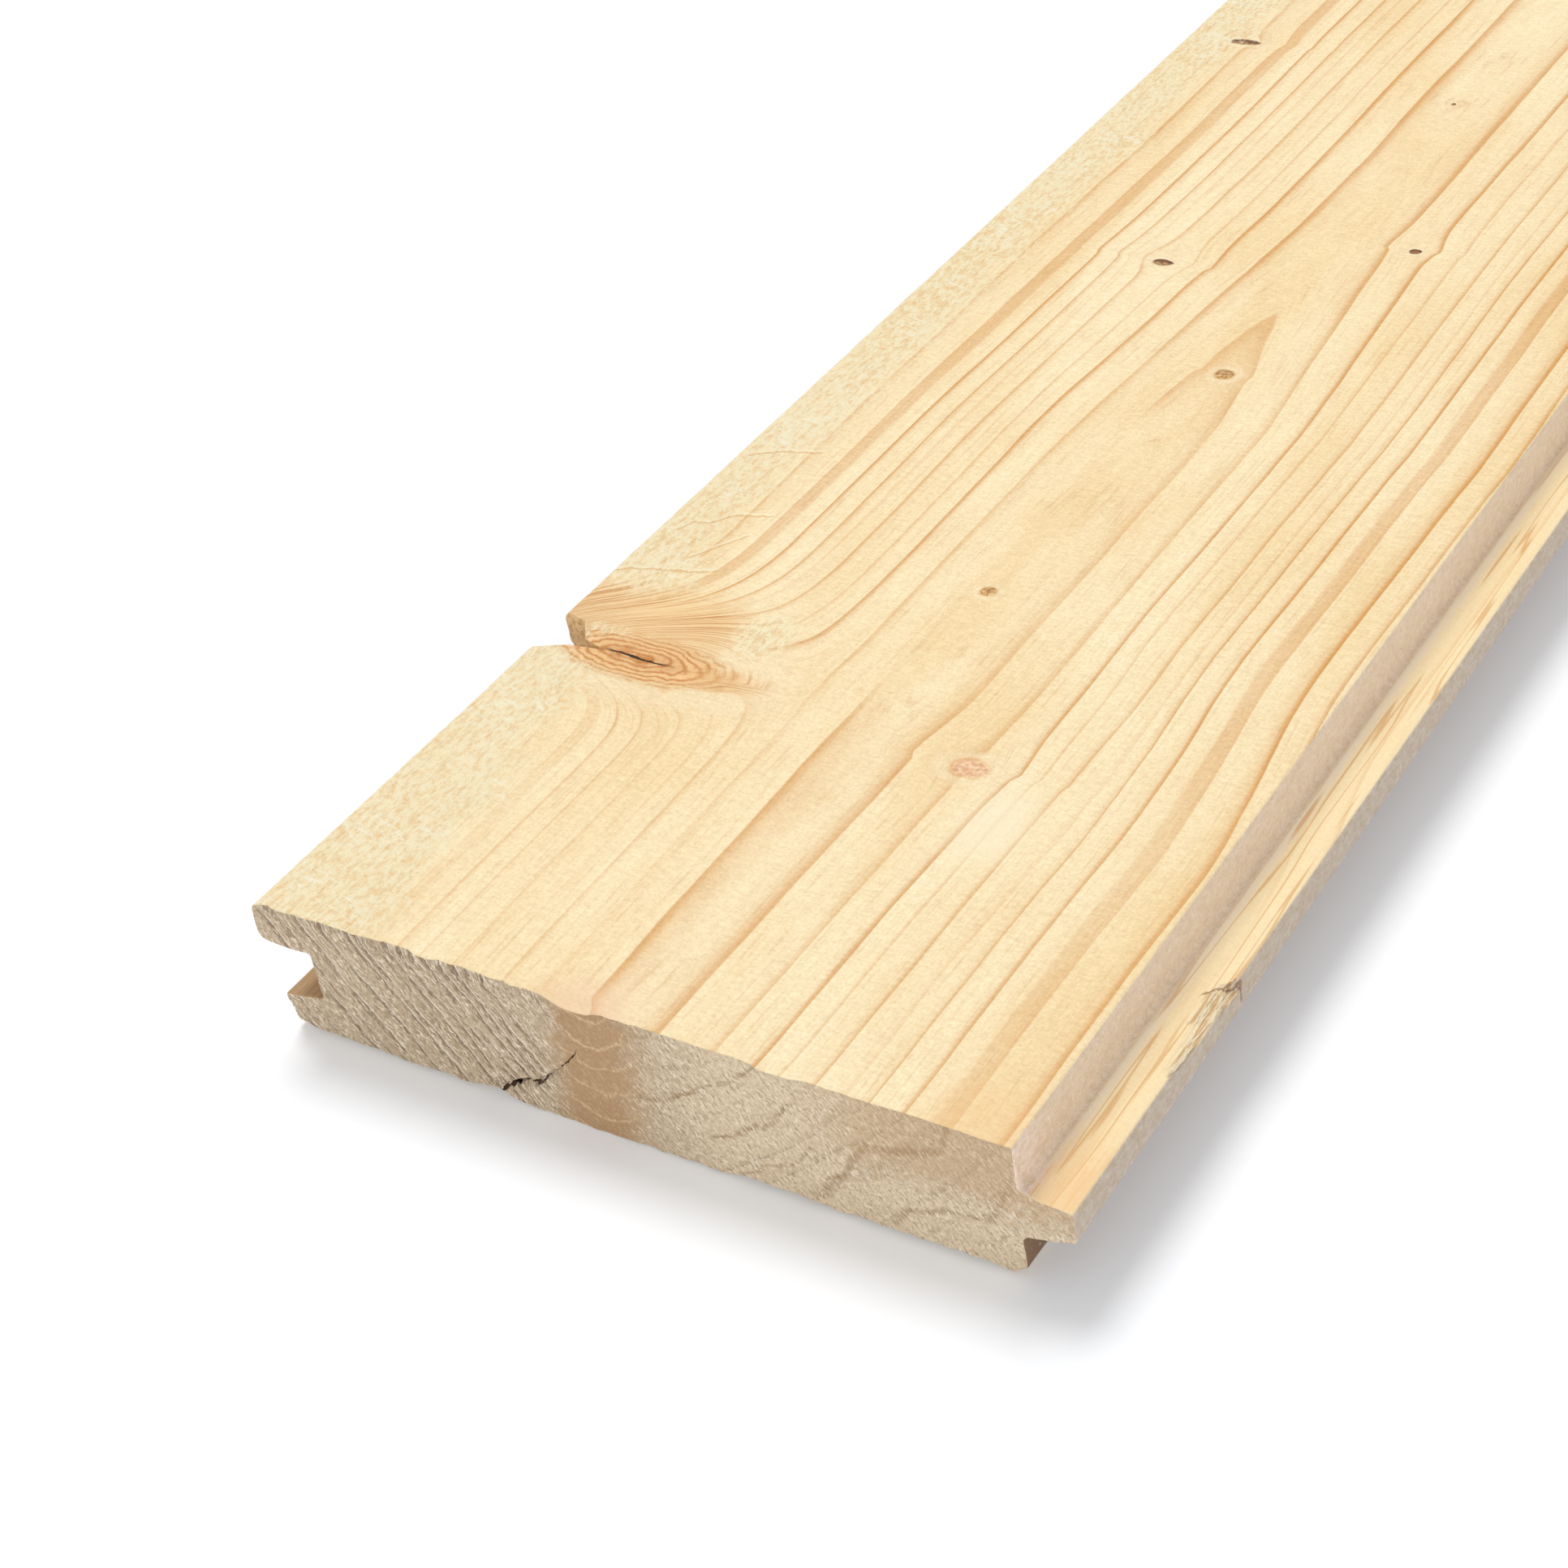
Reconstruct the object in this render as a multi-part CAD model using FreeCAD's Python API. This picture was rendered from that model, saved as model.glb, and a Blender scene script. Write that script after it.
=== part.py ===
"""Rough tongue and groove board: one sawn spruce board, planed on its show face.

The board lies on its sawn back face. X runs across it, from the groove to the tongue, Y runs along it, from
the front end to the far end, and Z is up. The origin is the middle of the bounding box's underside. All
sizes are in millimetres.
"""

import FreeCAD
import Part

import math
import os

Vector = FreeCAD.Vector

# Board
board_length = 2000.0
overall_width = 121.0  # from the edge of the face lip to the tip of the tongue
thickness = 21.0
joint_height = 10.5  # middle of the tongue's root above the back face

# Tongue, tapered towards its tip, and more so on its back side
tongue_length = 7.0
tongue_root_height = 7.4
tongue_face_taper = 1.0
tongue_back_taper = 1.8

# Groove, which takes the tongue of the next board with these clearances
face_mouth_play = 0.3  # between the face lip and the tongue's root
face_tip_play = 1.3  # between the face lip and the tongue's tip
back_mouth_play = 1.3  # between the back lip and the tongue's root
back_tip_play = 1.9  # between the back lip and the tongue's tip
end_play = 1.6  # in front of the tongue's tip
back_lip_setback = 1.6  # the back lip is shorter, so that the joint closes on the show face

# Rounding of the section's corners
face_lip_top_round = 1.8
face_lip_nose_round = 1.5
back_lip_nose_round = 0.5
back_lip_under_round = 0.8
groove_bottom_round = 0.6
face_shoulder_round = 0.5
tongue_root_round = 0.8
tongue_tip_round = 0.7
back_shoulder_under_round = 2.2

# Gap broken out of the face lip beside the edge knot: (from the lip's edge, from the front end)
knot_gap_outline = [(0.0, 61.8), (6.1, 64.4), (12.0, 65.1), (7.7, 66.4), (4.8, 70.3), (0.0, 71.6)]

# Splinter torn off the tongue's upper corner, from the front end
splinter_start = 21.8
splinter_end = 42.9
splinter_step = 4.2  # its end slants back by this much across the tongue's face side
splinter_width = 2.5
splinter_depth = 2.2

# A cutting solid reaches this far past the surface that it cuts
overcut = 1.0

face_lip_x = -overall_width / 2
back_lip_x = face_lip_x + back_lip_setback
groove_bottom_x = face_lip_x + tongue_length + end_play
tongue_tip_x = overall_width / 2
shoulder_x = tongue_tip_x - tongue_length
front_y = -board_length / 2
root_face_z = joint_height + tongue_root_height / 2
root_back_z = joint_height - tongue_root_height / 2
tip_face_z = root_face_z - tongue_face_taper
tip_back_z = root_back_z + tongue_back_taper


def rounded_wire(corners):
    """A closed wire in the XZ plane through corners (x, z, radius), each rounded with an arc of its radius."""
    points = [Vector(x, 0, z) for x, z, _ in corners]
    arcs = []
    for index, (_, _, radius) in enumerate(corners):
        corner = points[index]
        back = (points[index - 1] - corner).normalize()
        ahead = (points[(index + 1) % len(points)] - corner).normalize()
        half_angle = back.getAngle(ahead) / 2
        tangent_length = radius / math.tan(half_angle)
        middle_distance = radius / math.sin(half_angle) - radius
        start = corner + back * tangent_length
        middle = corner + (back + ahead).normalize() * middle_distance
        end = corner + ahead * tangent_length
        arcs.append((start, middle, end))
    edges = []
    for index, (start, middle, end) in enumerate(arcs):
        next_start = arcs[(index + 1) % len(arcs)][0]
        edges.append(Part.Arc(start, middle, end).toShape())
        edges.append(Part.LineSegment(end, next_start).toShape())
    return Part.Wire(edges)


def groove_face_side(depth):
    """Height of the groove's side under the face lip, which runs straight, at a depth from that lip's edge."""
    mouth = root_face_z + face_mouth_play
    at_tongue_tip = tip_face_z + face_tip_play
    return mouth + (at_tongue_tip - mouth) * depth / tongue_length


def groove_back_side(depth):
    """Height of the groove's side on the back lip, which runs straight, at a depth from the face lip's edge."""
    mouth = root_back_z - back_mouth_play
    at_tongue_tip = tip_back_z - back_tip_play
    return mouth + (at_tongue_tip - mouth) * depth / tongue_length


def section_wire():
    """The board's section, clockwise seen from the front end: face, shoulder, tongue, back, groove."""
    groove_depth = tongue_length + end_play
    face = [
        (face_lip_x, thickness, face_lip_top_round),
        (shoulder_x, thickness, face_shoulder_round),
    ]
    tongue = [
        (shoulder_x, root_face_z, tongue_root_round),
        (tongue_tip_x, tip_face_z, tongue_tip_round),
        (tongue_tip_x, tip_back_z, tongue_tip_round),
        (shoulder_x, root_back_z, tongue_root_round),
    ]
    back = [
        (shoulder_x, 0, back_shoulder_under_round),
        (back_lip_x, 0, back_lip_under_round),
    ]
    groove = [
        (back_lip_x, groove_back_side(back_lip_setback), back_lip_nose_round),
        (groove_bottom_x, groove_back_side(groove_depth), groove_bottom_round),
        (groove_bottom_x, groove_face_side(groove_depth), groove_bottom_round),
        (face_lip_x, groove_face_side(0), face_lip_nose_round),
    ]
    return rounded_wire(face + tongue + back + groove)


def planed_board():
    """The whole section, as it leaves the moulder, cut off square at both ends."""
    blank = Part.Face(section_wire()).extrude(Vector(0, board_length, 0))
    blank.translate(Vector(0, front_y, 0))
    return blank


def knot_gap():
    """The piece missing from the face lip: a wedge seen from above, which goes right through the lip."""
    bottom = groove_face_side(tongue_length + end_play) - overcut
    first, last = knot_gap_outline[0], knot_gap_outline[-1]
    outside = [(-overcut, last[1]), (-overcut, first[1])]
    points = [
        Vector(face_lip_x + depth, front_y + along, bottom)
        for depth, along in knot_gap_outline + outside
    ]
    plan = Part.Face(Part.makePolygon(points + points[:1]))
    return plan.extrude(Vector(0, 0, thickness + overcut - bottom))


def pointed_wedge(apex, base):
    """A solid with one pointed end: the apex, and a three-cornered base."""
    first, second, third = base
    triangles = [base, (apex, second, first), (apex, third, second), (apex, first, third)]
    faces = [Part.Face(Part.makePolygon(list(corners) + [corners[0]])) for corners in triangles]
    wedge = Part.Solid(Part.Shell(faces))
    if wedge.Volume < 0:
        wedge.reverse()
    return wedge


def torn_splinter():
    """The splinter missing from the tongue: it starts at a point and ends deep, in a short slanting step."""
    slope = tongue_face_taper / tongue_length
    start = front_y + splinter_start
    end = front_y + splinter_end
    apex = Vector(tongue_tip_x, start, tip_face_z)
    inner_height = tip_face_z + slope * splinter_width
    inner = Vector(tongue_tip_x - splinter_width, end - splinter_step, inner_height)
    outer = Vector(tongue_tip_x + overcut, end, tip_face_z + overcut)
    deep = Vector(tongue_tip_x + overcut, end, tip_face_z - splinter_depth)
    return pointed_wedge(apex, (inner, outer, deep))


def board():
    """The finished board, with its two places of damage."""
    return planed_board().cut([knot_gap(), torn_splinter()])


os.makedirs("parts", exist_ok=True)
board().exportStep("parts/board.step")
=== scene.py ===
"""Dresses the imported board: rough spruce with a tongue and a groove, planed on its show face.

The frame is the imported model's: X across the board from groove to tongue, Y along it, Z up, in metres.
The shape functions work in millimetres, with y measured from the front end.
"""

import math

import bpy
import numpy as np
from bpy.props import FloatProperty, FloatVectorProperty, IntProperty, PointerProperty
from mathutils import Matrix, Vector


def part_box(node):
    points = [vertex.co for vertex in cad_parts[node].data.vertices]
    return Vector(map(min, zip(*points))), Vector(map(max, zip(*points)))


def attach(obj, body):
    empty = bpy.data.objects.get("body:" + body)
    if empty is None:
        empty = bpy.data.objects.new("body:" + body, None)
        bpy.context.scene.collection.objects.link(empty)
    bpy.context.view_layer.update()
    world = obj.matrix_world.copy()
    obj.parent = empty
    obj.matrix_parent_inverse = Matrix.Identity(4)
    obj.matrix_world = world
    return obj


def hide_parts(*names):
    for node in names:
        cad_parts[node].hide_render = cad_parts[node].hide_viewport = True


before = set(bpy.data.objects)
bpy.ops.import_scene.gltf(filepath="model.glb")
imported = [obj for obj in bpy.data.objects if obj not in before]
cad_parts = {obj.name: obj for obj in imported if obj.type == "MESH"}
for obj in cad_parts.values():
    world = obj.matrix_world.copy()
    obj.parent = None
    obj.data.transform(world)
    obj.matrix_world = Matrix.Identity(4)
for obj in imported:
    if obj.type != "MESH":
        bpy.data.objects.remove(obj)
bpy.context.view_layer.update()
board_low, board_high = (np.array(corner) * 1000 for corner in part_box("board"))

bl_info = {
    "name": "Rough tongue and groove board",
    "version": (1, 0, 0),
    "blender": (4, 5, 0),
    "location": "View3D > Sidebar > Board",
    "description": "Spruce board with its grain, knots, sawn ends and back, and a plain studio",
    "category": "Object",
}

MM = 0.001

# Random values of the noise, and the primes that pick one for each point of its lattice
NOISE_VALUES = 4096
LATTICE_PRIMES = (73856093, 19349663, 83492791)

FRONT_Y = board_low[1]
BOARD_LENGTH = board_high[1] - board_low[1]
THICKNESS = board_high[2]
FACE_LIP_X = board_low[0]
TONGUE_TIP_X = board_high[0]

# Gap in the face lip: distance from the front end, and depth from the lip's edge
GAP_ALONG = (61.8, 64.4, 65.1, 66.4, 70.3, 71.6)
GAP_DEPTH = (0.0, 6.1, 12.0, 7.7, 4.8, 0.0)

# Rounding radii of the section's corners, and those that the torn edges of the gap keep
LIP_TOP_ROUND = 1.8
LIP_NOSE_ROUND = 1.5
BACK_LIP_NOSE_ROUND = 0.5
BACK_LIP_UNDER_ROUND = 0.8
GROOVE_ROUND = 0.6
FACE_SHOULDER_ROUND = 0.5
BACK_SHOULDER_ROUND = 2.2
TONGUE_ROOT_ROUND = 0.8
TONGUE_TIP_ROUND = 0.7
TORN_TOP_ROUND = 0.15
TORN_ROUND = 0.1
TORN_WITHIN = 1.2  # depth of the gap at which its edge is torn in full
END_INSET = 0.12  # the section shrinks by this at both ends, so that their arrises aren't knife-sharp
SHARP_ANGLE = 50.0  # degrees between faces from which their edge is drawn sharp

# Height of the groove's side on the back lip, at its mouth and at its bottom
GROOVE_LOW_MOUTH = 5.774
GROOVE_LOW_BOTTOM = 6.974

# Segments on each side of the section, in the order of section_corners
LIP_COLUMNS = 9
BACK_LIP_COLUMNS = 7
BODY_COLUMNS = 84
TONGUE_COLUMNS = 9
UPPER_ROWS = 9
MIDDLE_ROWS = 9
LOWER_ROWS = 9
SIDES = (
    LIP_COLUMNS, BODY_COLUMNS, UPPER_ROWS, TONGUE_COLUMNS, MIDDLE_ROWS, TONGUE_COLUMNS, LOWER_ROWS,
    BODY_COLUMNS, BACK_LIP_COLUMNS, LOWER_ROWS, BACK_LIP_COLUMNS, MIDDLE_ROWS, LIP_COLUMNS, UPPER_ROWS,
)
PLANED, MOULDED, SAWN_BACK, SAWN_END = range(4)
SIDE_FINISH = (
    PLANED, PLANED, MOULDED, MOULDED, MOULDED, MOULDED, MOULDED,
    SAWN_BACK, SAWN_BACK, MOULDED, MOULDED, MOULDED, MOULDED, MOULDED,
)

# Pith of the tree over the board: (distance from the front end, sideways place, height over the face)
PITH = (
    (0, 0.0, 15.0), (30, 0.0, 14.9), (60, 0.3, 14.6), (78, 1.0, 13.7), (130, 1.4, 13.7),
    (148, 1.7, 14.4), (158, 1.7, 15.3), (168, 1.7, 16.2), (180, 1.7, 17.05), (190, 1.7, 17.7),
    (200, 1.7, 18.4), (210, 2.0, 18.9), (240, 2.5, 19.2), (300, 2.8, 19.0), (420, 3.5, 17.6),
    (560, 5.0, 16.6), (640, 5.5, 18.3), (760, 4.0, 19.8), (900, 2.0, 21.6), (1000, 0.5, 23.6),
    (1150, -2.0, 24.2), (1300, -4.0, 22.4), (1420, -3.5, 20.4), (1560, -1.0, 18.4), (1700, 2.0, 17.2),
    (1850, 4.0, 18.9), (2000, 5.0, 20.6),
)

# Outer edges of the year rings, as distances from the pith. Each has the strength of its dark wood, how far
# that fades inwards, and the share of the sharp line at its edge. A fade of 1 darkens the whole outer half.
RINGS = (
    (6.0, 0.5, 0.5, 0.5), (11.5, 0.5, 0.5, 0.5), (17.3, 0.80, 0.6, 0.45), (22.8, 0.42, 0.42, 0.7),
    (27.5, 0.78, 0.35, 1.0), (30.5, 0.34, 0.3, 0.8), (34.5, 0.55, 0.4, 0.8), (37.3, 0.26, 0.4, 0.6),
    (39.4, 0.75, 0.8, 0.9), (43.1, 0.85, 0.45, 1.0), (48.2, 0.56, 1.0, 0.3), (53.4, 0.8, 0.6, 1.0),
    (57.2, 0.6, 0.5, 0.8), (62.0, 0.5, 0.4, 0.8), (66.3, 0.8, 0.5, 1.0), (70.6, 0.5, 0.5, 0.8),
    (74.8, 0.8, 0.5, 1.0), (79.3, 0.6, 0.5, 0.8), (84.0, 0.7, 0.5, 0.8), (89.0, 0.6, 0.5, 0.8),
)
RING_REACH = 90.0

# The rings lie wider on the groove's side, and are shifted on the tongue's side. Each point has its distance
# from the front end and the amount.
LEFT_STRETCH = (
    (0, -0.04), (60, -0.04), (100, 0.02), (130, 0.03), (170, 0.06), (210, 0.095), (320, 0.09),
    (500, 0.03), (2000, 0.03),
)
RIGHT_SHIFT = (
    (0, 0), (60, 0), (84, 0.5), (95, 1.1), (140, 1.1), (165, 0), (200, -1.0), (300, -1.2), (420, 0),
    (2000, 0),
)

# Branches: face point (x, y), radius, reach and height of the bend in the rings round it, darkness,
# halo, crack
BRANCHES = (
    (-42.5, 65.2, 4.3, 11.5, 30.0, 0.06, 1.0, 1.0),
    (-47.6, 276.3, 1.0, 3.5, 2.0, 1.0, 0.7, 0.0),
    (-23.4, 192.7, 0.95, 4.8, 2.3, 0.8, 0.9, 0.0),
    (14.9, 207.3, 0.8, 4.2, 1.9, 1.0, 0.8, 0.0),
    (2.4, 162.0, 1.4, 4.0, 1.2, 0.3, 0.9, 0.0),
    (-3.2, 96.7, 1.1, 4.0, 0.8, 0.22, 0.8, 0.0),
    (14.7, 59.4, 1.8, 6.0, 2.6, 0.0, 1.0, 0.0),
    (0.1, 260.2, 0.4, 2.5, 0.5, 0.9, 0.3, 0.0),
    (-30.0, 402.0, 1.8, 6.0, 5.0, 0.7, 0.7, 0.0),
    (21.0, 446.0, 2.4, 7.0, 6.0, 0.3, 0.9, 0.0),
    (-8.0, 518.0, 1.3, 4.5, 2.5, 0.8, 0.6, 0.0),
    (38.0, 585.0, 3.0, 9.0, 9.0, 0.4, 1.0, 0.7),
    (-46.0, 640.0, 2.2, 6.0, 6.0, 0.9, 0.7, 0.5),
    (5.0, 742.0, 1.6, 5.0, 3.0, 0.5, 0.7, 0.0),
    (28.0, 790.0, 2.0, 6.0, 5.0, 0.9, 0.7, 0.0),
    (-20.0, 868.0, 2.6, 7.0, 6.0, 0.35, 1.0, 0.0),
    (44.0, 935.0, 1.2, 4.5, 4.0, 0.8, 0.5, 0.0),
    (-38.0, 1040.0, 3.4, 10.0, 12.0, 0.4, 1.0, 0.9),
    (12.0, 1105.0, 1.6, 5.0, 3.0, 0.8, 0.7, 0.0),
    (-12.0, 1190.0, 1.4, 4.5, 2.5, 0.6, 0.6, 0.0),
    (33.0, 1268.0, 2.8, 8.0, 8.0, 0.5, 1.0, 0.0),
    (-50.0, 1330.0, 1.6, 5.0, 5.0, 0.9, 0.6, 0.0),
    (18.0, 1420.0, 1.4, 4.5, 3.0, 0.7, 0.6, 0.0),
    (-27.0, 1495.0, 2.3, 6.5, 6.0, 0.4, 0.9, 0.0),
    (47.0, 1560.0, 1.8, 5.0, 5.0, 0.9, 0.6, 0.5),
    (-5.0, 1640.0, 2.1, 6.0, 4.0, 0.3, 0.9, 0.0),
    (-42.0, 1722.0, 3.0, 9.0, 10.0, 0.45, 1.0, 0.8),
    (24.0, 1800.0, 1.8, 6.0, 5.0, 0.8, 0.7, 0.0),
    (8.0, 1878.0, 1.3, 4.5, 2.5, 0.7, 0.6, 0.0),
    (-18.0, 1935.0, 2.0, 6.0, 4.0, 0.5, 0.8, 0.0),
)
# The rings bend back sooner on a branch's lower side, by this much, and the bend falls off with this power
BELOW_BRANCH = 0.9
BEND_POWER = 1.4

# A branch starts nearer the front end than its point on the face, by this share of its distance sideways
BRANCH_LEAN = 0.06

# Hair cracks and torn fibres in the face above the edge knot: x and distance from the front end along each
FACE_HAIRS = (
    ((-60.3, 82.4), (-57.2, 84.4), (-53.2, 85.4), (-48.0, 86.4), (-44.5, 87.7)),
    ((-56.2, 95.9), (-55.2, 98.4), (-52.6, 98.9), (-50.0, 101.9), (-44.5, 103.4)),
    ((-50.0, 90.0), (-48.0, 93.0), (-45.0, 97.4)),
    ((-57.5, 118.0), (-53.0, 120.4), (-47.0, 121.6)),
)
# Soft spots of another tone on the face: over the end's bruise, at the corner by the tongue, and a pale one.
# Each has its place, its half widths, its strength and its colour.
FACE_TONES = (
    ((-7.0, -1.0), (11.0, 9.0), 0.55, (240, 200, 166)),
    ((49.0, 0.0), (12.0, 16.0), 0.32, (242, 194, 134)),
    ((24.0, 50.0), (7.0, 13.0), 0.6, (255, 243, 210)),
)
# Year rings that show dark on the sawn end's tongue side: half width, then x and height along each
END_RINGS = (
    (0.5, ((5.5, 11.2), (8.6, 12.6), (11.5, 15.0), (14.6, 16.4), (17.0, 18.8))),
    (0.5, ((10.4, 5.9), (13.6, 7.0), (16.4, 9.8), (19.8, 11.6), (22.2, 14.9))),
    (0.75, (
        (25.4, 1.8), (27.0, 5.2), (29.4, 6.9), (31.0, 10.2), (32.9, 12.9), (39.7, 14.9),
        (43.7, 16.5), (45.0, 20.4),
    )),
    (0.7, ((35.7, 1.8), (37.7, 4.6), (43.7, 6.9), (49.6, 8.1), (51.0, 11.4), (52.4, 14.1))),
    (0.5, ((-0.5, 8.4), (4.0, 9.4), (8.0, 12.4))),
    (0.45, ((14.0, 1.0), (17.5, 3.6), (22.0, 5.8), (25.0, 9.6))),
)
# The hairs' curves count from this corner: left of the board's middle, and from the front end
HAIRS_LEFT = 61.0
HAIRS_FRONT = 50.0

# The sawn front end's lower edge: x, and how far it is broken away upwards
BACK_EDGE = (
    (-60, 0.4), (-53, 0.45), (-41, 0.25), (-30, 0.35), (-25.6, 0.9), (-24.2, 1.3), (-23.2, 1.0),
    (-22.3, 0.2), (-20.5, 0.0), (-16.3, -0.25), (-6, -0.25), (0, -0.15), (11, -0.1), (12.8, 0.4),
    (18, 0.5), (24, 0.55), (28, 0.05), (32, 0.4), (39, 0.35), (48, 0.45), (49.5, 0.05), (51, 0.1),
    (52.1, 0.5), (60, 0.5),
)
# Half width of the crack, by its distance from CRACK_LEFT
CRACK_WIDTH = (
    (0, 0), (6.3, 0), (7.2, 0.42), (12, 0.38), (15, 0.3), (16, 0.05), (17.5, 0.05), (18.2, 0.24),
    (20.8, 0.16), (21.6, 0), (30, 0),
)
# The crack in the front end, from the back to the face: x and height
CRACK = ((-23.3, 1.2), (-20.5, 3.5), (-15.8, 5.5), (-14.0, 7.5), (-12.0, 9.3), (-9.8, 11.5), (-8.6, 13.5))
# The crack's curves start this far left of the board's middle, and span this much width and height
CRACK_LEFT = 30.0
CRACK_SPAN = 30.0
CRACK_TOP = 16.0

# Splinter torn off the tongue: its pointed start, the inner and outer corner of its far end, and how far
# that end slants along the board for each millimetre across
SPLINTER_APEX = (60.5, 21.8, 13.2)
SPLINTER_INNER = (58.0, 38.7, 13.557)
SPLINTER_DEEP = (61.5, 42.9, 11.0)
SPLINTER_SLANT = 1.68

# How much the fine grain darkens and lightens red, green and blue
GRAIN_DEPTHS = (0.17, 0.25, 0.34)

# Spots on the show face reach this far down, past the whole board
SPOT_DEPTH = 50.0

# Saw scores on the ends: how far apart, and how steep in degrees
SCORE_SPACING = 1.75
SCORE_SLOPE = 54.0

# Curves that draw a line over a face span this much along it and to each side of it
LINE_SPAN = 80.0
LINE_SIDE = 50.0
LINE_FADE = 0.8  # past each of its ends

# Directions in which the two lights travel, and the floor's distance under the board
KEY_TRAVEL = (0.34, -0.36, -0.87)
FILL_TRAVEL = (-0.5, 0.83, -0.25)
FLOOR_DROP = 0.0003

# The camera's own axes and its place
CAMERA_RIGHT = (0.83587, 0.52834, -0.14893)
CAMERA_UP = (-0.21984, 0.57080, 0.79111)
CAMERA_BACK = (0.50298, -0.62852, 0.59327)
CAMERA_PLACE = (0.18584, -1.19310, 0.24820)


def colour(red, green, blue):
    """Scene colour of a colour given as 0 to 255 on a screen."""
    parts = np.array([red, green, blue]) / 255
    linear = np.where(parts <= 0.04045, parts / 12.92, ((parts + 0.055) / 1.055) ** 2.4)
    return tuple(float(part) for part in linear)


class BoardShape(bpy.types.PropertyGroup):
    """Sizes of the section and of its damage."""

    tongue_length: FloatProperty(
        name="Tongue length", description="From shoulder to tip", default=7.0 * MM, unit="LENGTH"
    )
    tongue_root_low: FloatProperty(
        name="Tongue root, low side", description="Height of the tongue's root on the back side",
        default=6.8 * MM, unit="LENGTH",
    )
    tongue_root_high: FloatProperty(
        name="Tongue root, high side", description="Height of the tongue's root on the face side",
        default=14.2 * MM, unit="LENGTH",
    )
    tongue_tip_low: FloatProperty(
        name="Tongue tip, low side", description="Height of the tongue's tip on the back side",
        default=8.6 * MM, unit="LENGTH",
    )
    tongue_tip_high: FloatProperty(
        name="Tongue tip, high side", description="Height of the tongue's tip on the face side",
        default=13.2 * MM, unit="LENGTH",
    )
    groove_depth: FloatProperty(
        name="Groove depth", description="From the face lip's edge to the groove's bottom",
        default=8.6 * MM, unit="LENGTH",
    )
    groove_high: FloatProperty(
        name="Groove, face side", description="Height of the groove's side under the face lip",
        default=14.5 * MM, unit="LENGTH",
    )
    back_lip_setback: FloatProperty(
        name="Back lip setback", description="How far the back lip ends before the face lip",
        default=1.6 * MM, unit="LENGTH",
    )
    edge_relief: FloatProperty(
        name="Sawn edge relief", description="How ragged the sawn front end's edges are",
        default=1.0 * MM, unit="LENGTH",
    )
    back_relief: FloatProperty(
        name="Sawn back relief", description="Depth of the saw marks on the back",
        default=0.22 * MM, unit="LENGTH",
    )


class BoardWood(bpy.types.PropertyGroup):
    """Colours and seed of the wood."""

    early_wood: FloatVectorProperty(
        name="Early wood", description="Pale wood of a year ring", subtype="COLOR",
        default=colour(252, 232, 190), min=0, max=1,
    )
    tan_wood: FloatVectorProperty(
        name="Tan wood", description="Deeper tone that the pale wood drifts to", subtype="COLOR",
        default=colour(246, 219, 168), min=0, max=1,
    )
    late_wood: FloatVectorProperty(
        name="Late wood", description="Orange lines of the year rings", subtype="COLOR",
        default=colour(215, 152, 73), min=0, max=1,
    )
    knot_wood: FloatVectorProperty(
        name="Knot", description="Wood of a sound knot", subtype="COLOR",
        default=colour(198, 122, 46), min=0, max=1,
    )
    dead_knot: FloatVectorProperty(
        name="Dark knot", description="Wood of a dark knot, and its rim", subtype="COLOR",
        default=colour(72, 32, 2), min=0, max=1,
    )
    end_wood: FloatVectorProperty(
        name="End grain", description="Sawn end, greyed and dusty", subtype="COLOR",
        default=colour(224, 204, 174), min=0, max=1,
    )
    end_late_wood: FloatVectorProperty(
        name="End grain, late wood", description="Dark rings on the sawn end", subtype="COLOR",
        default=colour(176, 148, 114), min=0, max=1,
    )
    seed: IntProperty(name="Seed", description="Seed of the ragged edges", default=7, min=0)


class BoardStudio(bpy.types.PropertyGroup):
    """Light, floor and camera."""

    key_level: FloatProperty(
        name="Key light", description="Share of the key light on a level surface", default=0.44, min=0
    )
    sky_level: FloatProperty(
        name="Sky light", description="Level of the light from all round", default=0.48, min=0
    )
    fill_level: FloatProperty(
        name="Fill light", description="Level of the light on the front end's side", default=0.3, min=0
    )
    key_spread: FloatProperty(
        name="Key spread", description="Width of the key light as an angle",
        default=math.radians(26), subtype="ANGLE",
    )
    floor_size: FloatProperty(
        name="Floor size", description="Side of the floor", default=16.0, unit="LENGTH"
    )
    lens: FloatProperty(name="Lens", description="Focal length in millimetres", default=66.81)


def smooth_step(low, high, value):
    """0 below low, 1 above high, and 3t²-2t³ between them."""
    t = np.clip((value - low) / (high - low), 0, 1)
    return t * t * (3 - 2 * t)


def value_noise(points, size, seed):
    """Smooth noise from -1 to 1: random values on a lattice of this size, blended by 3t²-2t³."""
    table = np.random.RandomState(seed).uniform(-1, 1, NOISE_VALUES)
    place = np.asarray(points, float) / size
    cell = np.floor(place).astype(np.int64)
    t = place - cell
    t = t * t * (3 - 2 * t)
    total = np.zeros(place.shape[:-1])
    for corner in np.ndindex(*(2,) * place.shape[-1]):
        corner = np.array(corner)
        key = ((cell + corner) * np.array(LATTICE_PRIMES[: place.shape[-1]])).sum(-1)
        weight = np.prod(np.where(corner == 1, t, 1 - t), axis=-1)
        total += weight * table[(key ^ (key >> 13)) & (NOISE_VALUES - 1)]
    return total


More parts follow.
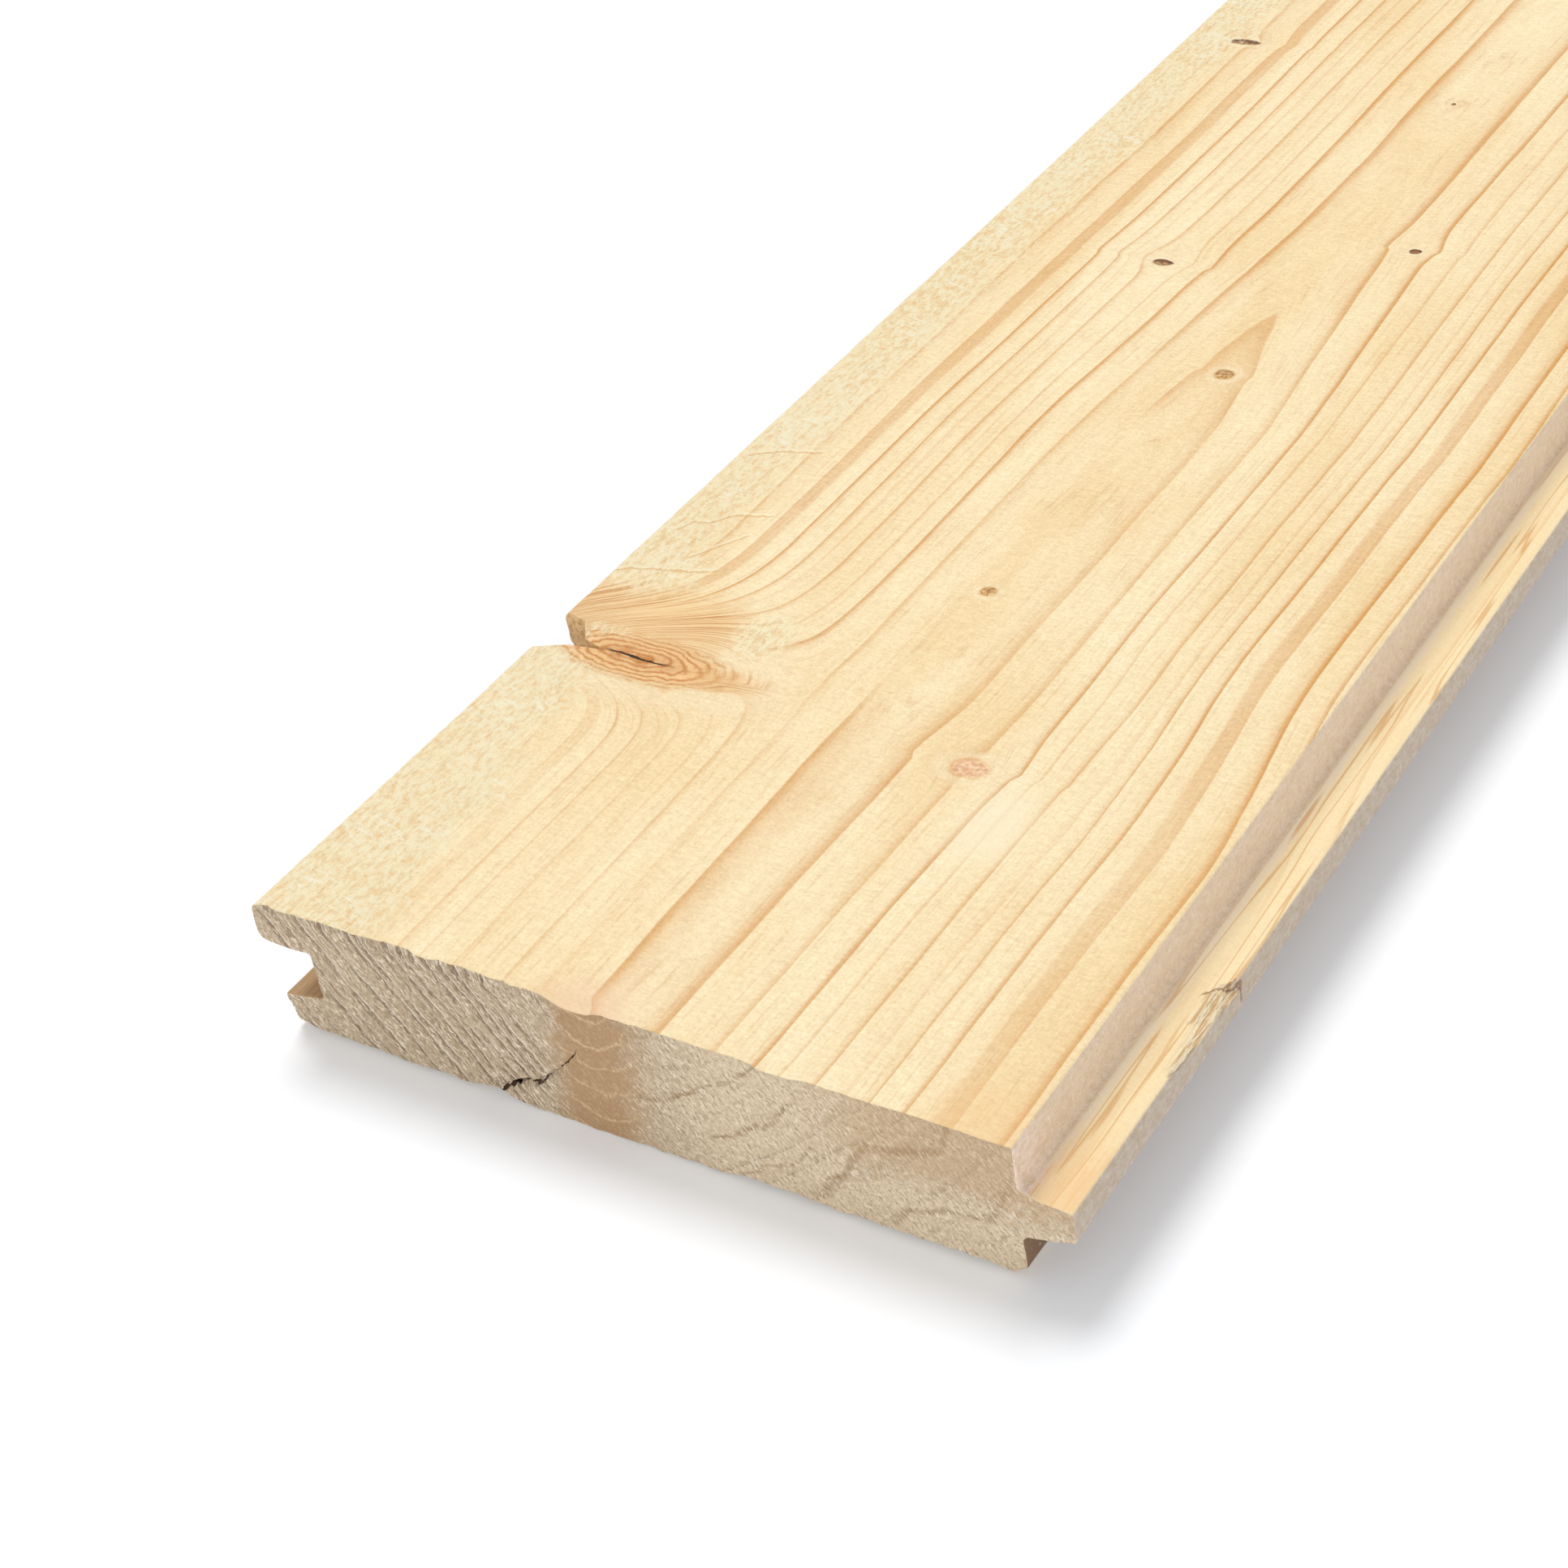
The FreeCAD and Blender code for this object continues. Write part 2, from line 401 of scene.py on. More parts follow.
def stations():
    """Distances from the front end at which the section is placed: close at the front, wide far off."""
    runs = (
        (0.0, 0.8, 0.2), (0.8, 4.0, 0.5), (4.0, 60.0, 1.0), (60.0, 61.8, 0.6), (61.8, 64.4, 0.26),
        (64.4, 65.1, 0.1), (65.1, 66.4, 0.13), (66.4, 70.3, 0.3), (70.3, 71.6, 0.26), (71.6, 80.0, 0.7),
        (80.0, 200.0, 2.1), (200.0, 320.0, 3.0), (320.0, BOARD_LENGTH - 12, 17.0),
    )
    parts = [np.linspace(low, high, max(2, round((high - low) / step) + 1))[:-1] for low, high, step in runs]
    end = BOARD_LENGTH - np.array([12.0, 6.0, 3.0, 1.2, 0.4, 0.0])
    return np.concatenate(parts + [end])


def section_corners(shape, along):
    """Corners (x, z) and rounding radii of the section at each station, clockwise from the face lip's top.

    In the gap the lip's edge stands back by the gap's depth, which is straight between its outline's
    points, and the rounding fades to a torn edge within a millimetre of depth.
    """
    depth = np.interp(along, GAP_ALONG, GAP_DEPTH, left=0, right=0)
    torn = smooth_step(0, TORN_WITHIN, depth)
    edge = FACE_LIP_X + depth
    bottom = FACE_LIP_X + shape.groove_depth / MM
    seam = np.maximum(bottom, edge + TORN_WITHIN)
    shoulder = TONGUE_TIP_X - shape.tongue_length / MM
    back_lip = FACE_LIP_X + shape.back_lip_setback / MM
    high = shape.groove_high / MM
    root_low, root_high = shape.tongue_root_low / MM, shape.tongue_root_high / MM
    tip_low, tip_high = shape.tongue_tip_low / MM, shape.tongue_tip_high / MM
    corners = (
        (edge, THICKNESS, LIP_TOP_ROUND - (LIP_TOP_ROUND - TORN_TOP_ROUND) * torn),
        (seam, THICKNESS, 0),
        (shoulder, THICKNESS, FACE_SHOULDER_ROUND),
        (shoulder, root_high, TONGUE_ROOT_ROUND),
        (TONGUE_TIP_X, tip_high, TONGUE_TIP_ROUND),
        (TONGUE_TIP_X, tip_low, TONGUE_TIP_ROUND),
        (shoulder, root_low, TONGUE_ROOT_ROUND),
        (shoulder, 0, BACK_SHOULDER_ROUND),
        (bottom, 0, 0),
        (back_lip, 0, BACK_LIP_UNDER_ROUND),
        (back_lip, GROOVE_LOW_MOUTH, BACK_LIP_NOSE_ROUND),
        (bottom, GROOVE_LOW_BOTTOM, GROOVE_ROUND),
        (bottom, high, GROOVE_ROUND - (GROOVE_ROUND - TORN_ROUND) * torn),
        (edge, high, LIP_NOSE_ROUND - (LIP_NOSE_ROUND - TORN_ROUND) * torn),
    )
    places = np.zeros((len(along), len(corners), 2))
    radii = np.zeros((len(along), len(corners)))
    for index, (x, z, radius) in enumerate(corners):
        places[:, index, 0] = x
        places[:, index, 1] = z
        radii[:, index] = radius
    return places, radii


def section_loops(shape, along):
    """Points (x, z) of the section at each station, as an array of stations by points.

    Each side runs from the middle of one corner's arc to the middle of the next: half an arc about the
    centre that lies radius / sin(half angle) from the corner, then a straight run, then half an arc.
    """
    places, radii = section_corners(shape, along)

    def unit(vector):
        return vector / np.maximum(np.linalg.norm(vector, axis=-1, keepdims=True), 1e-9)

    ahead = unit(np.roll(places, -1, axis=1) - places)
    behind = unit(np.roll(places, 1, axis=1) - places)
    half = np.arccos(np.clip((ahead * behind).sum(-1), -1, 1)) / 2
    inward = unit(ahead + behind + 1e-9)
    sine = np.maximum(np.sin(half), 1e-6)
    centre = places + inward * (radii / sine)[..., None]
    tangent = radii / np.maximum(np.tan(half), 1e-6)
    sweep = np.pi / 2 - half

    def arc_segments(corner):
        radius = radii[0, corner]
        return 3 if radius > 1 else 2 if radius > 0 else 0

    def half_arc(corner, towards, share):
        out = -inward[:, corner]
        side = unit(towards - out * (towards * out).sum(-1, keepdims=True))
        angle = sweep[:, corner, None, None] * share[None, :, None]
        ring = out[:, None] * np.cos(angle) + side[:, None] * np.sin(angle)
        return centre[:, corner, None] + ring * radii[:, corner, None, None]

    runs = []
    for side, count in enumerate(SIDES):
        after = (side + 1) % len(SIDES)
        first, last = arc_segments(side), arc_segments(after)
        straight = count - first - last
        start = places[:, side] + ahead[:, side] * tangent[:, side, None]
        stop = places[:, after] + behind[:, after] * tangent[:, after, None]
        pieces = []
        if first:
            pieces.append(half_arc(side, ahead[:, side], np.arange(first) / first))
        share = (np.arange(straight + (1 if last else 0)) / straight)[None, :, None]
        pieces.append(start[:, None] * (1 - share) + stop[:, None] * share)
        if last:
            pieces.append(half_arc(after, behind[:, after], 1 - np.arange(1, last) / last))
        runs.append(np.concatenate(pieces, axis=1))
    return np.concatenate(runs, axis=1)


def coons(bottom, top, left, right):
    """Coons patch between four edges: the two ruled surfaces added, less the bilinear one of the corners."""
    rows, columns = len(left), len(bottom)
    u = np.linspace(0, 1, columns)[None, :, None]
    v = np.linspace(0, 1, rows)[:, None, None]
    ruled = (1 - v) * bottom[None] + v * top[None] + (1 - u) * left[:, None] + u * right[:, None]
    flat = (1 - v) * ((1 - u) * bottom[0] + u * bottom[-1]) + v * ((1 - u) * top[0] + u * top[-1])
    return ruled - flat


def end_cap(loop, ends, next_index):
    """Closes one end with four Coons patches: face lip, back lip, tongue and body.

    The loop's points have the vertex numbers in ends. Gives the new points (x, z), and for each patch the
    grid of vertex numbers, rows upwards.
    """
    starts = np.concatenate([[0], np.cumsum(SIDES)])
    count = starts[-1]

    def side(number):
        return np.arange(starts[number], starts[number + 1] + 1) % count

    points, grids = [], []
    made = next_index

    def straight(a, b, segments):
        share = np.linspace(0, 1, segments + 1)[:, None]
        return loop[a] * (1 - share) + loop[b] * share

    def add(new_points):
        nonlocal made
        numbers = made + np.arange(len(new_points))
        points.append(new_points)
        made += len(new_points)
        return numbers

    corner = starts[:-1]
    inner_upper = straight(corner[12], corner[1], UPPER_ROWS)
    inner_lower = straight(corner[8], corner[11], LOWER_ROWS)
    root = straight(corner[6], corner[3], MIDDLE_ROWS)
    upper = np.concatenate([[ends[corner[12]]], add(inner_upper[1:-1]), [ends[corner[1]]]])
    lower = np.concatenate([[ends[corner[8]]], add(inner_lower[1:-1]), [ends[corner[11]]]])
    middle = np.concatenate([[ends[corner[6]]], add(root[1:-1]), [ends[corner[3]]]])

    def patch(bottom, top, left, right, numbers):
        grid = coons(bottom, top, left, right)
        bottom_n, top_n, left_n, right_n = numbers
        index = np.zeros(grid.shape[:2], int)
        index[0], index[-1], index[:, 0], index[:, -1] = bottom_n, top_n, left_n, right_n
        index[1:-1, 1:-1] = add(grid[1:-1, 1:-1].reshape(-1, 2)).reshape(index[1:-1, 1:-1].shape)
        grids.append(index)

    def outline(number, backwards):
        indices = side(number)[::-1] if backwards else side(number)
        return loop[indices], ends[indices]

    lip_under, lip_under_n = outline(12, True)
    lip_top, lip_top_n = outline(0, False)
    lip_nose, lip_nose_n = outline(13, False)
    patch(lip_under, lip_top, lip_nose, inner_upper, (lip_under_n, lip_top_n, lip_nose_n, upper))
    back_under, back_under_n = outline(8, True)
    back_top, back_top_n = outline(10, False)
    back_nose, back_nose_n = outline(9, False)
    patch(back_under, back_top, back_nose, inner_lower, (back_under_n, back_top_n, back_nose_n, lower))
    tongue_under, tongue_under_n = outline(5, True)
    tongue_top, tongue_top_n = outline(3, False)
    tip, tip_n = outline(4, True)
    patch(tongue_under, tongue_top, root, tip, (tongue_under_n, tongue_top_n, middle, tip_n))
    back, back_n = outline(7, True)
    face, face_n = outline(1, False)
    wall, wall_n = outline(11, False)
    high_wall, high_wall_n = outline(2, True)
    low_wall, low_wall_n = outline(6, True)
    left = np.concatenate([inner_lower, wall[1:], inner_upper[1:]])
    left_n = np.concatenate([lower, wall_n[1:], upper[1:]])
    right = np.concatenate([low_wall, root[1:], high_wall[1:]])
    right_n = np.concatenate([low_wall_n, middle[1:], high_wall_n[1:]])
    patch(back, face, left, right, (back_n, face_n, left_n, right_n))
    return np.concatenate(points), grids


def tear_splinter(points):
    """Lowers the tongue's corner to the plane through the splinter's three corners, before its slanting end.

    Noise that is drawn out along the board makes the bed ragged. Gives the points, and 1 for each that
    was lowered.
    """
    apex, inner, deep = (np.array(corner) for corner in (SPLINTER_APEX, SPLINTER_INNER, SPLINTER_DEEP))
    normal = np.cross(inner - apex, deep - apex)
    normal *= np.sign(normal[2]) / np.linalg.norm(normal)
    proud = (points - apex) @ normal
    x, y, z = points.T
    end = inner[1] + (x - inner[0]) * SPLINTER_SLANT
    inside = (proud > 0) & (x > inner[0] - 2) & (y < end) & (y > apex[1]) & (z > deep[2] - 1.5)
    ragged = 0.22 * value_noise(points * (1, 0.25, 1), 0.9, 31) * smooth_step(apex[1], 28, y)
    across = normal * (1, 0, 1)
    lowered = points - (np.maximum(proud, 0) + ragged)[:, None] * across / (across @ across)
    return np.where(inside[:, None], lowered, points), inside.astype(float)


def ragged_front(points, relief):
    """Moves the points near the front end: its sawn face, its broken edges and the chipped back lip.

    Each change fades along the board by a smooth step from the end, within 1.6 to 10 mm.
    """
    x, y, z = points.T
    moved = points.copy()
    flat = np.stack([x, z], axis=-1)
    close = 1 - smooth_step(0, 1.6, y)
    sawn = 0.10 * value_noise(flat, 0.9, 3) + 0.10 * value_noise(flat, 3.1, 4)
    top = smooth_step(19.9, 21, z)
    left_edge = smooth_step(-60, -57, x) * (1 - smooth_step(-14, -11, x))
    nibble = 0.28 + 0.30 * value_noise(flat[:, :1], 1.7, 5) + 0.25 * value_noise(flat[:, :1], 6.0, 6)
    recess = top * (0.12 + left_edge * np.maximum(nibble, 0))
    chip = smooth_step(-1.0, -0.3, -(x + 58.9) * 1.6 - z + 3.4) * (z < 5.6)
    moved[:, 1] += close * (sawn + recess + 0.45 * chip) * relief
    dips = 0.95 * smooth_step(-11.8, -10.2, x) * (1 - smooth_step(-5.6, -3.8, x))
    dips += 0.6 * smooth_step(18.4, 20, x) * (1 - smooth_step(24, 25.6, x))
    moved[:, 2] -= dips * top * (1 - smooth_step(0, 2.6, y)) * relief
    xs, rise = np.array(BACK_EDGE).T
    broken = np.interp(x, xs, rise) + 0.16 * value_noise(flat[:, :1], 0.8, 8) + 0.1
    fade = 7 + 3 * value_noise(flat[:, :1], 4.0, 9)
    low = 1 - smooth_step(0, 3.0, z)
    moved[:, 2] += np.where(x > -59.5, broken, 0) * low * (1 - smooth_step(0, 1, y / fade)) * relief
    return moved


def open_crack(points):
    """Draws the end's points towards the crack, as distance² / reach, and sinks the nearest ones in a V."""
    xs, zs = np.array(CRACK).T
    x, y, z = points.T
    gap = z - np.interp(x, xs, zs)
    reach = 1.3
    along = smooth_step(-24, -22.5, x) * (1 - smooth_step(-10.5, -8.4, x)) * (y < 0.3)
    near = along * (np.abs(gap) < reach)
    drawn = np.sign(gap) * gap ** 2 / reach
    moved = points.copy()
    moved[:, 2] += near * (drawn - gap)
    moved[:, 1] += 1.2 * near * np.clip(1 - np.abs(drawn) / 0.35, 0, 1)
    return moved


def sawn_back(points, relief, seed):
    """Saw marks on the back: waves across the board with noise, always upwards from the floor."""
    _, y, z = points.T
    waves = 0.5 + 0.5 * np.sin(y / 2.3 + 0.8 * value_noise(points[:, :2], 24.0, seed))
    rough = 0.5 + 0.5 * value_noise(points[:, :2] * (1, 0.4), 2.2, seed + 1)
    under = (z < 0.4) & (y > 1)
    moved = points.copy()
    moved[:, 2] += under * relief * (0.35 * waves + 0.65 * rough)
    return moved


def worn_edges(points, seed):
    """Noise that nibbles the face lip's edge and roughens the face beside it.

    Two bells, exp(-(x / width)² - (y / length)²), sink the torn grain and the split at the edge knot.
    """
    x, y, z = points.T
    moved = points.copy()
    lip = (1 - smooth_step(-60.5, -58.2, x)) * smooth_step(15, 17, z) * (y > 0.5)
    moved[:, 0] += lip * (0.10 + 0.12 * value_noise(points, 1.9, seed + 3))
    moved[:, 0] += lip * 0.10 * value_noise(points, 9.0, seed + 4)
    face = smooth_step(20.2, 21, z)
    rough = (1 - smooth_step(-56, -44, x)) * face
    moved[:, 2] -= rough * (0.07 + 0.09 * value_noise(points * (1, 0.5, 1), 1.8, seed + 5))
    torn = np.exp(-((x + 27.5) / 3.4) ** 2 - ((y - 75.5) / 5.0) ** 2) * face
    moved[:, 2] -= torn * (0.15 + 0.22 * value_noise(points, 1.6, seed + 6))
    along_knot = np.exp(-((x + 42.0) / 4.5) ** 2 - ((y - 65.2) / 0.5) ** 2) * face
    moved[:, 2] -= 0.35 * along_knot
    return moved


def branch_axes():
    """Start and direction of each branch, which runs straight from the pith to its point on the face."""
    rows = np.array(BRANCHES)
    place, sideways, height = np.array(PITH).T
    start = np.stack([
        np.interp(rows[:, 1], place, sideways), rows[:, 1] - BRANCH_LEAN * np.abs(rows[:, 0]),
        THICKNESS + np.interp(rows[:, 1], place, height),
    ], axis=-1)
    face_point = np.stack([rows[:, 0], rows[:, 1], np.full(len(rows), THICKNESS)], axis=-1)
    way = face_point - start
    return start, way / np.linalg.norm(way, axis=-1, keepdims=True), rows


def board_mesh(shape, seed):
    """The board's closed mesh: the section carried along the stations, with a patched cap on each end."""
    along = stations()
    loops = section_loops(shape, along)
    count = loops.shape[1]
    tangent = np.roll(loops, -1, axis=1) - np.roll(loops, 1, axis=1)
    outward = np.stack([-tangent[..., 1], tangent[..., 0]], axis=-1)
    outward /= np.maximum(np.linalg.norm(outward, axis=-1, keepdims=True), 1e-9)
    for station in (0, -1):
        loops[station] -= outward[station] * END_INSET
    tube = np.empty((len(along), count, 3))
    tube[..., 0], tube[..., 2] = loops[..., 0], loops[..., 1]
    tube[..., 1] = along[:, None]
    points = [tube.reshape(-1, 3)]
    numbers = np.arange(len(along) * count).reshape(len(along), count)
    a, b = numbers[:-1], np.roll(numbers[:-1], -1, axis=1)
    c, d = np.roll(numbers[1:], -1, axis=1), numbers[1:]
    quads = [np.stack([a, b, c, d], axis=-1)[:, ::-1].reshape(-1, 4)]
    finish = np.tile(np.repeat(SIDE_FINISH, SIDES)[::-1], len(along) - 1)
    finishes = [finish]
    made = len(points[0])
    for station, flip in ((0, False), (len(along) - 1, True)):
        new, grids = end_cap(loops[station], numbers[station], made)
        cap = np.empty((len(new), 3))
        cap[:, 0], cap[:, 1], cap[:, 2] = new[:, 0], along[station], new[:, 1]
        points.append(cap)
        made += len(new)
        for grid in grids:
            faces = np.stack([grid[:-1, :-1], grid[:-1, 1:], grid[1:, 1:], grid[1:, :-1]], axis=-1)
            faces = faces.reshape(-1, 4)
            quads.append(faces[:, ::-1] if flip else faces)
            finishes.append(np.full(len(faces), SAWN_END))
    points = np.concatenate(points)
    points, splinter = tear_splinter(points)
    points = open_crack(points)
    points = ragged_front(points, shape.edge_relief / MM)
    points = sawn_back(points, shape.back_relief / MM, seed)
    points = worn_edges(points, seed)
    return points, np.concatenate(quads), np.concatenate(finishes), splinter


def place_branches(mesh, centres):
    """Gives each face the branch that bends its rings most.

    The bend is height * exp(-(distance / reach)^1.4), as in the material, which is even where two branches
    bend alike. Within a branch's own wood that branch always counts.
    """
    start, way, rows = branch_axes()
    strongest = np.full(len(centres), -np.inf)
    chosen = np.zeros(len(centres), int)
    for index, row in enumerate(rows):
        radius, reach, height = row[2:5]
        offset = centres - start[index]
        along = offset @ way[index]
        side = offset - along[:, None] * way[index]
        distance = np.linalg.norm(side, axis=-1)
        below = 1 + BELOW_BRANCH * (side[:, 1] < 0)
        length = (start[index, 2] - THICKNESS) / -way[index, 2]
        bend = height * np.exp(-(distance * below / reach) ** BEND_POWER)
        bend = bend * smooth_step(0.35, 0.95, along / length)
        own = (distance < 3.5 * radius) & (along > 0.3 * length)
        bend = bend + 50 * own / (1 + distance) + 1e-4 / (1 + distance / reach)
        stronger = bend > strongest
        strongest = np.where(stronger, bend, strongest)
        chosen = np.where(stronger, index, chosen)
    values = {
        "branch_start": start[chosen], "branch_way": way[chosen],
        "branch_size": rows[chosen][:, 2:5], "branch_look": rows[chosen][:, 5:8],
    }
    for name, value in values.items():
        attribute = mesh.attributes.new(name, "FLOAT_VECTOR", "FACE")
        attribute.data.foreach_set("vector", value.astype(np.float32).ravel())


class ShaderNodes:
    """Adds and links the nodes of one tree. A value may be a number, a tuple or another node's output."""

    def __init__(self, tree):
        self.tree = tree

    def add(self, kind, values=None, **settings):
        node = self.tree.nodes.new(kind)
        for name, value in settings.items():
            setattr(node, name, value)
        for name, value in (values or {}).items():
            self.set(node.inputs[name], value)
        return node

    def set(self, socket, value):
        if isinstance(value, bpy.types.NodeSocket):
            self.tree.links.new(value, socket)
        else:
            if socket.type == "RGBA" and len(value) == 3:
                value = (*value, 1.0)
            socket.default_value = value

    def math(self, operation, *values, clamp=False):
        node = self.add("ShaderNodeMath", operation=operation, use_clamp=clamp)
        for index, value in enumerate(values):
            self.set(node.inputs[index], value)
        return node.outputs[0]

    def vector(self, operation, *values, scale=None):
        node = self.add("ShaderNodeVectorMath", operation=operation)
        for index, value in enumerate(values):
            self.set(node.inputs[index], value)
        if scale is not None:
            self.set(node.inputs["Scale"], scale)
        return node.outputs["Value" if operation in ("DOT_PRODUCT", "LENGTH") else "Vector"]

    def split(self, vector):
        return self.add("ShaderNodeSeparateXYZ", {"Vector": vector}).outputs

    def join(self, x, y, z):
        return self.add("ShaderNodeCombineXYZ", {"X": x, "Y": y, "Z": z}).outputs[0]

    def step(self, value, low, high, to_low=0.0, to_high=1.0):
        values = {"Value": value, "From Min": low, "From Max": high, "To Min": to_low, "To Max": to_high}
        return self.add("ShaderNodeMapRange", values, interpolation_type="SMOOTHSTEP").outputs[0]

    def scale(self, value, low, high, to_low, to_high):
        values = {"Value": value, "From Min": low, "From Max": high, "To Min": to_low, "To Max": to_high}
        return self.add("ShaderNodeMapRange", values).outputs[0]

    def mix(self, factor, first, second, blend="MIX"):
        node = self.add("ShaderNodeMix", data_type="RGBA", blend_type=blend)
        for socket, value in zip((node.inputs[0], node.inputs[6], node.inputs[7]), (factor, first, second)):
            self.set(socket, value)
        return node.outputs[2]

    def spot(self, place, centre, radii):
        """1 in the middle of an ellipsoid round a centre, 0 outside it."""
        offset = self.vector("SUBTRACT", place, centre)
        reach = self.vector("LENGTH", self.vector("DIVIDE", offset, radii))
        return self.step(reach, 1.0, 0.2)

    def face_spot(self, place, centre, radii):
        """1 in the middle of an oval round a place (x, y) on the show face, 0 outside it."""
        return self.spot(place, (*centre, THICKNESS), (*radii, SPOT_DEPTH))

    def chain(self, operation, values):
        """The values joined one after another by a sum or a product."""
        total = values[0]
        for value in values[1:]:
            total = self.math(operation, total, value)
        return total

    def times(self, *values):
        return self.chain("MULTIPLY", values)

    def plus(self, *values):
        return self.chain("ADD", values)

    def minus(self, first, second):
        return self.math("SUBTRACT", first, second)

    def divide(self, first, second):
        return self.math("DIVIDE", first, second)

    def larger(self, first, second):
        return self.math("MAXIMUM", first, second)

    def absolute(self, value):
        return self.math("ABSOLUTE", value)

    def noise(self, vector, size, detail=2.0, roughness=0.5, distortion=0.0):
        values = {
            "Vector": vector, "Scale": 1.0 / size, "Detail": detail, "Roughness": roughness,
            "Distortion": distortion,
        }
        return self.add("ShaderNodeTexNoise", values).outputs["Fac"]

    def sway(self, reach, vector, size, detail=2.0, roughness=0.5):
        """Noise that swings by this reach to both sides of 0."""
        return self.scale(self.noise(vector, size, detail, roughness), 0.0, 1.0, -reach, reach)

    def curve(self, value, reach, points, low, high):
        """A line through points (place, amount), straight between them: 0 to reach in, low to high out."""
        node = self.add("ShaderNodeFloatCurve")
        curve = node.mapping.curves[0]
        scaled = [(place / reach, (amount - low) / (high - low)) for place, amount in points]
        curve.points[0].location, curve.points[1].location = scaled[0], scaled[-1]
        for point in scaled[1:-1]:
            curve.points.new(*point)
        for point in curve.points:
            point.handle_type = "VECTOR"
        node.mapping.extend = "HORIZONTAL"
        node.mapping.update()
        self.set(node.inputs["Value"], self.divide(value, reach))
        return self.scale(node.outputs[0], 0.0, 1.0, low, high)

    def directly_seen(self):
        """1 where the camera sees it, also by reflection or through glass, 0 where it only gives light."""
        path = self.add("ShaderNodeLightPath").outputs
        seen = self.larger(path["Is Camera Ray"], path["Is Glossy Ray"])
        return self.larger(seen, path["Is Transmission Ray"])

    def group(self, group, values):
        node = self.add("ShaderNodeGroup", node_tree=group)
        for name, value in values.items():
            self.set(node.inputs[name], value)
        return node.outputs


def new_group(name, inputs, outputs):
    """An empty shader node group with named sockets, and its nodes for input and output."""
    group = bpy.data.node_groups.new(name, "ShaderNodeTree")
    for label, kind, default in inputs:
        socket = group.interface.new_socket(label, in_out="INPUT", socket_type=f"NodeSocket{kind}")
        if default is not None:
            socket.default_value = default
    for label, kind in outputs:
        group.interface.new_socket(label, in_out="OUTPUT", socket_type=f"NodeSocket{kind}")
    nodes = ShaderNodes(group)
    return group, nodes, nodes.add("NodeGroupInput").outputs, nodes.add("NodeGroupOutput")


def millimetre_group():
    """Place in the board in millimetres, with y from the front end."""
    group, nodes, _, out = new_group("Board place", [], [("Place", "Vector")])
    place = nodes.add("ShaderNodeTexCoord").outputs["Object"]
    values = {"Vector": place, "Location": (0, -FRONT_Y, 0), "Scale": (1000, 1000, 1000)}
    nodes.set(out.inputs["Place"], nodes.add("ShaderNodeMapping", values).outputs[0])
    return group


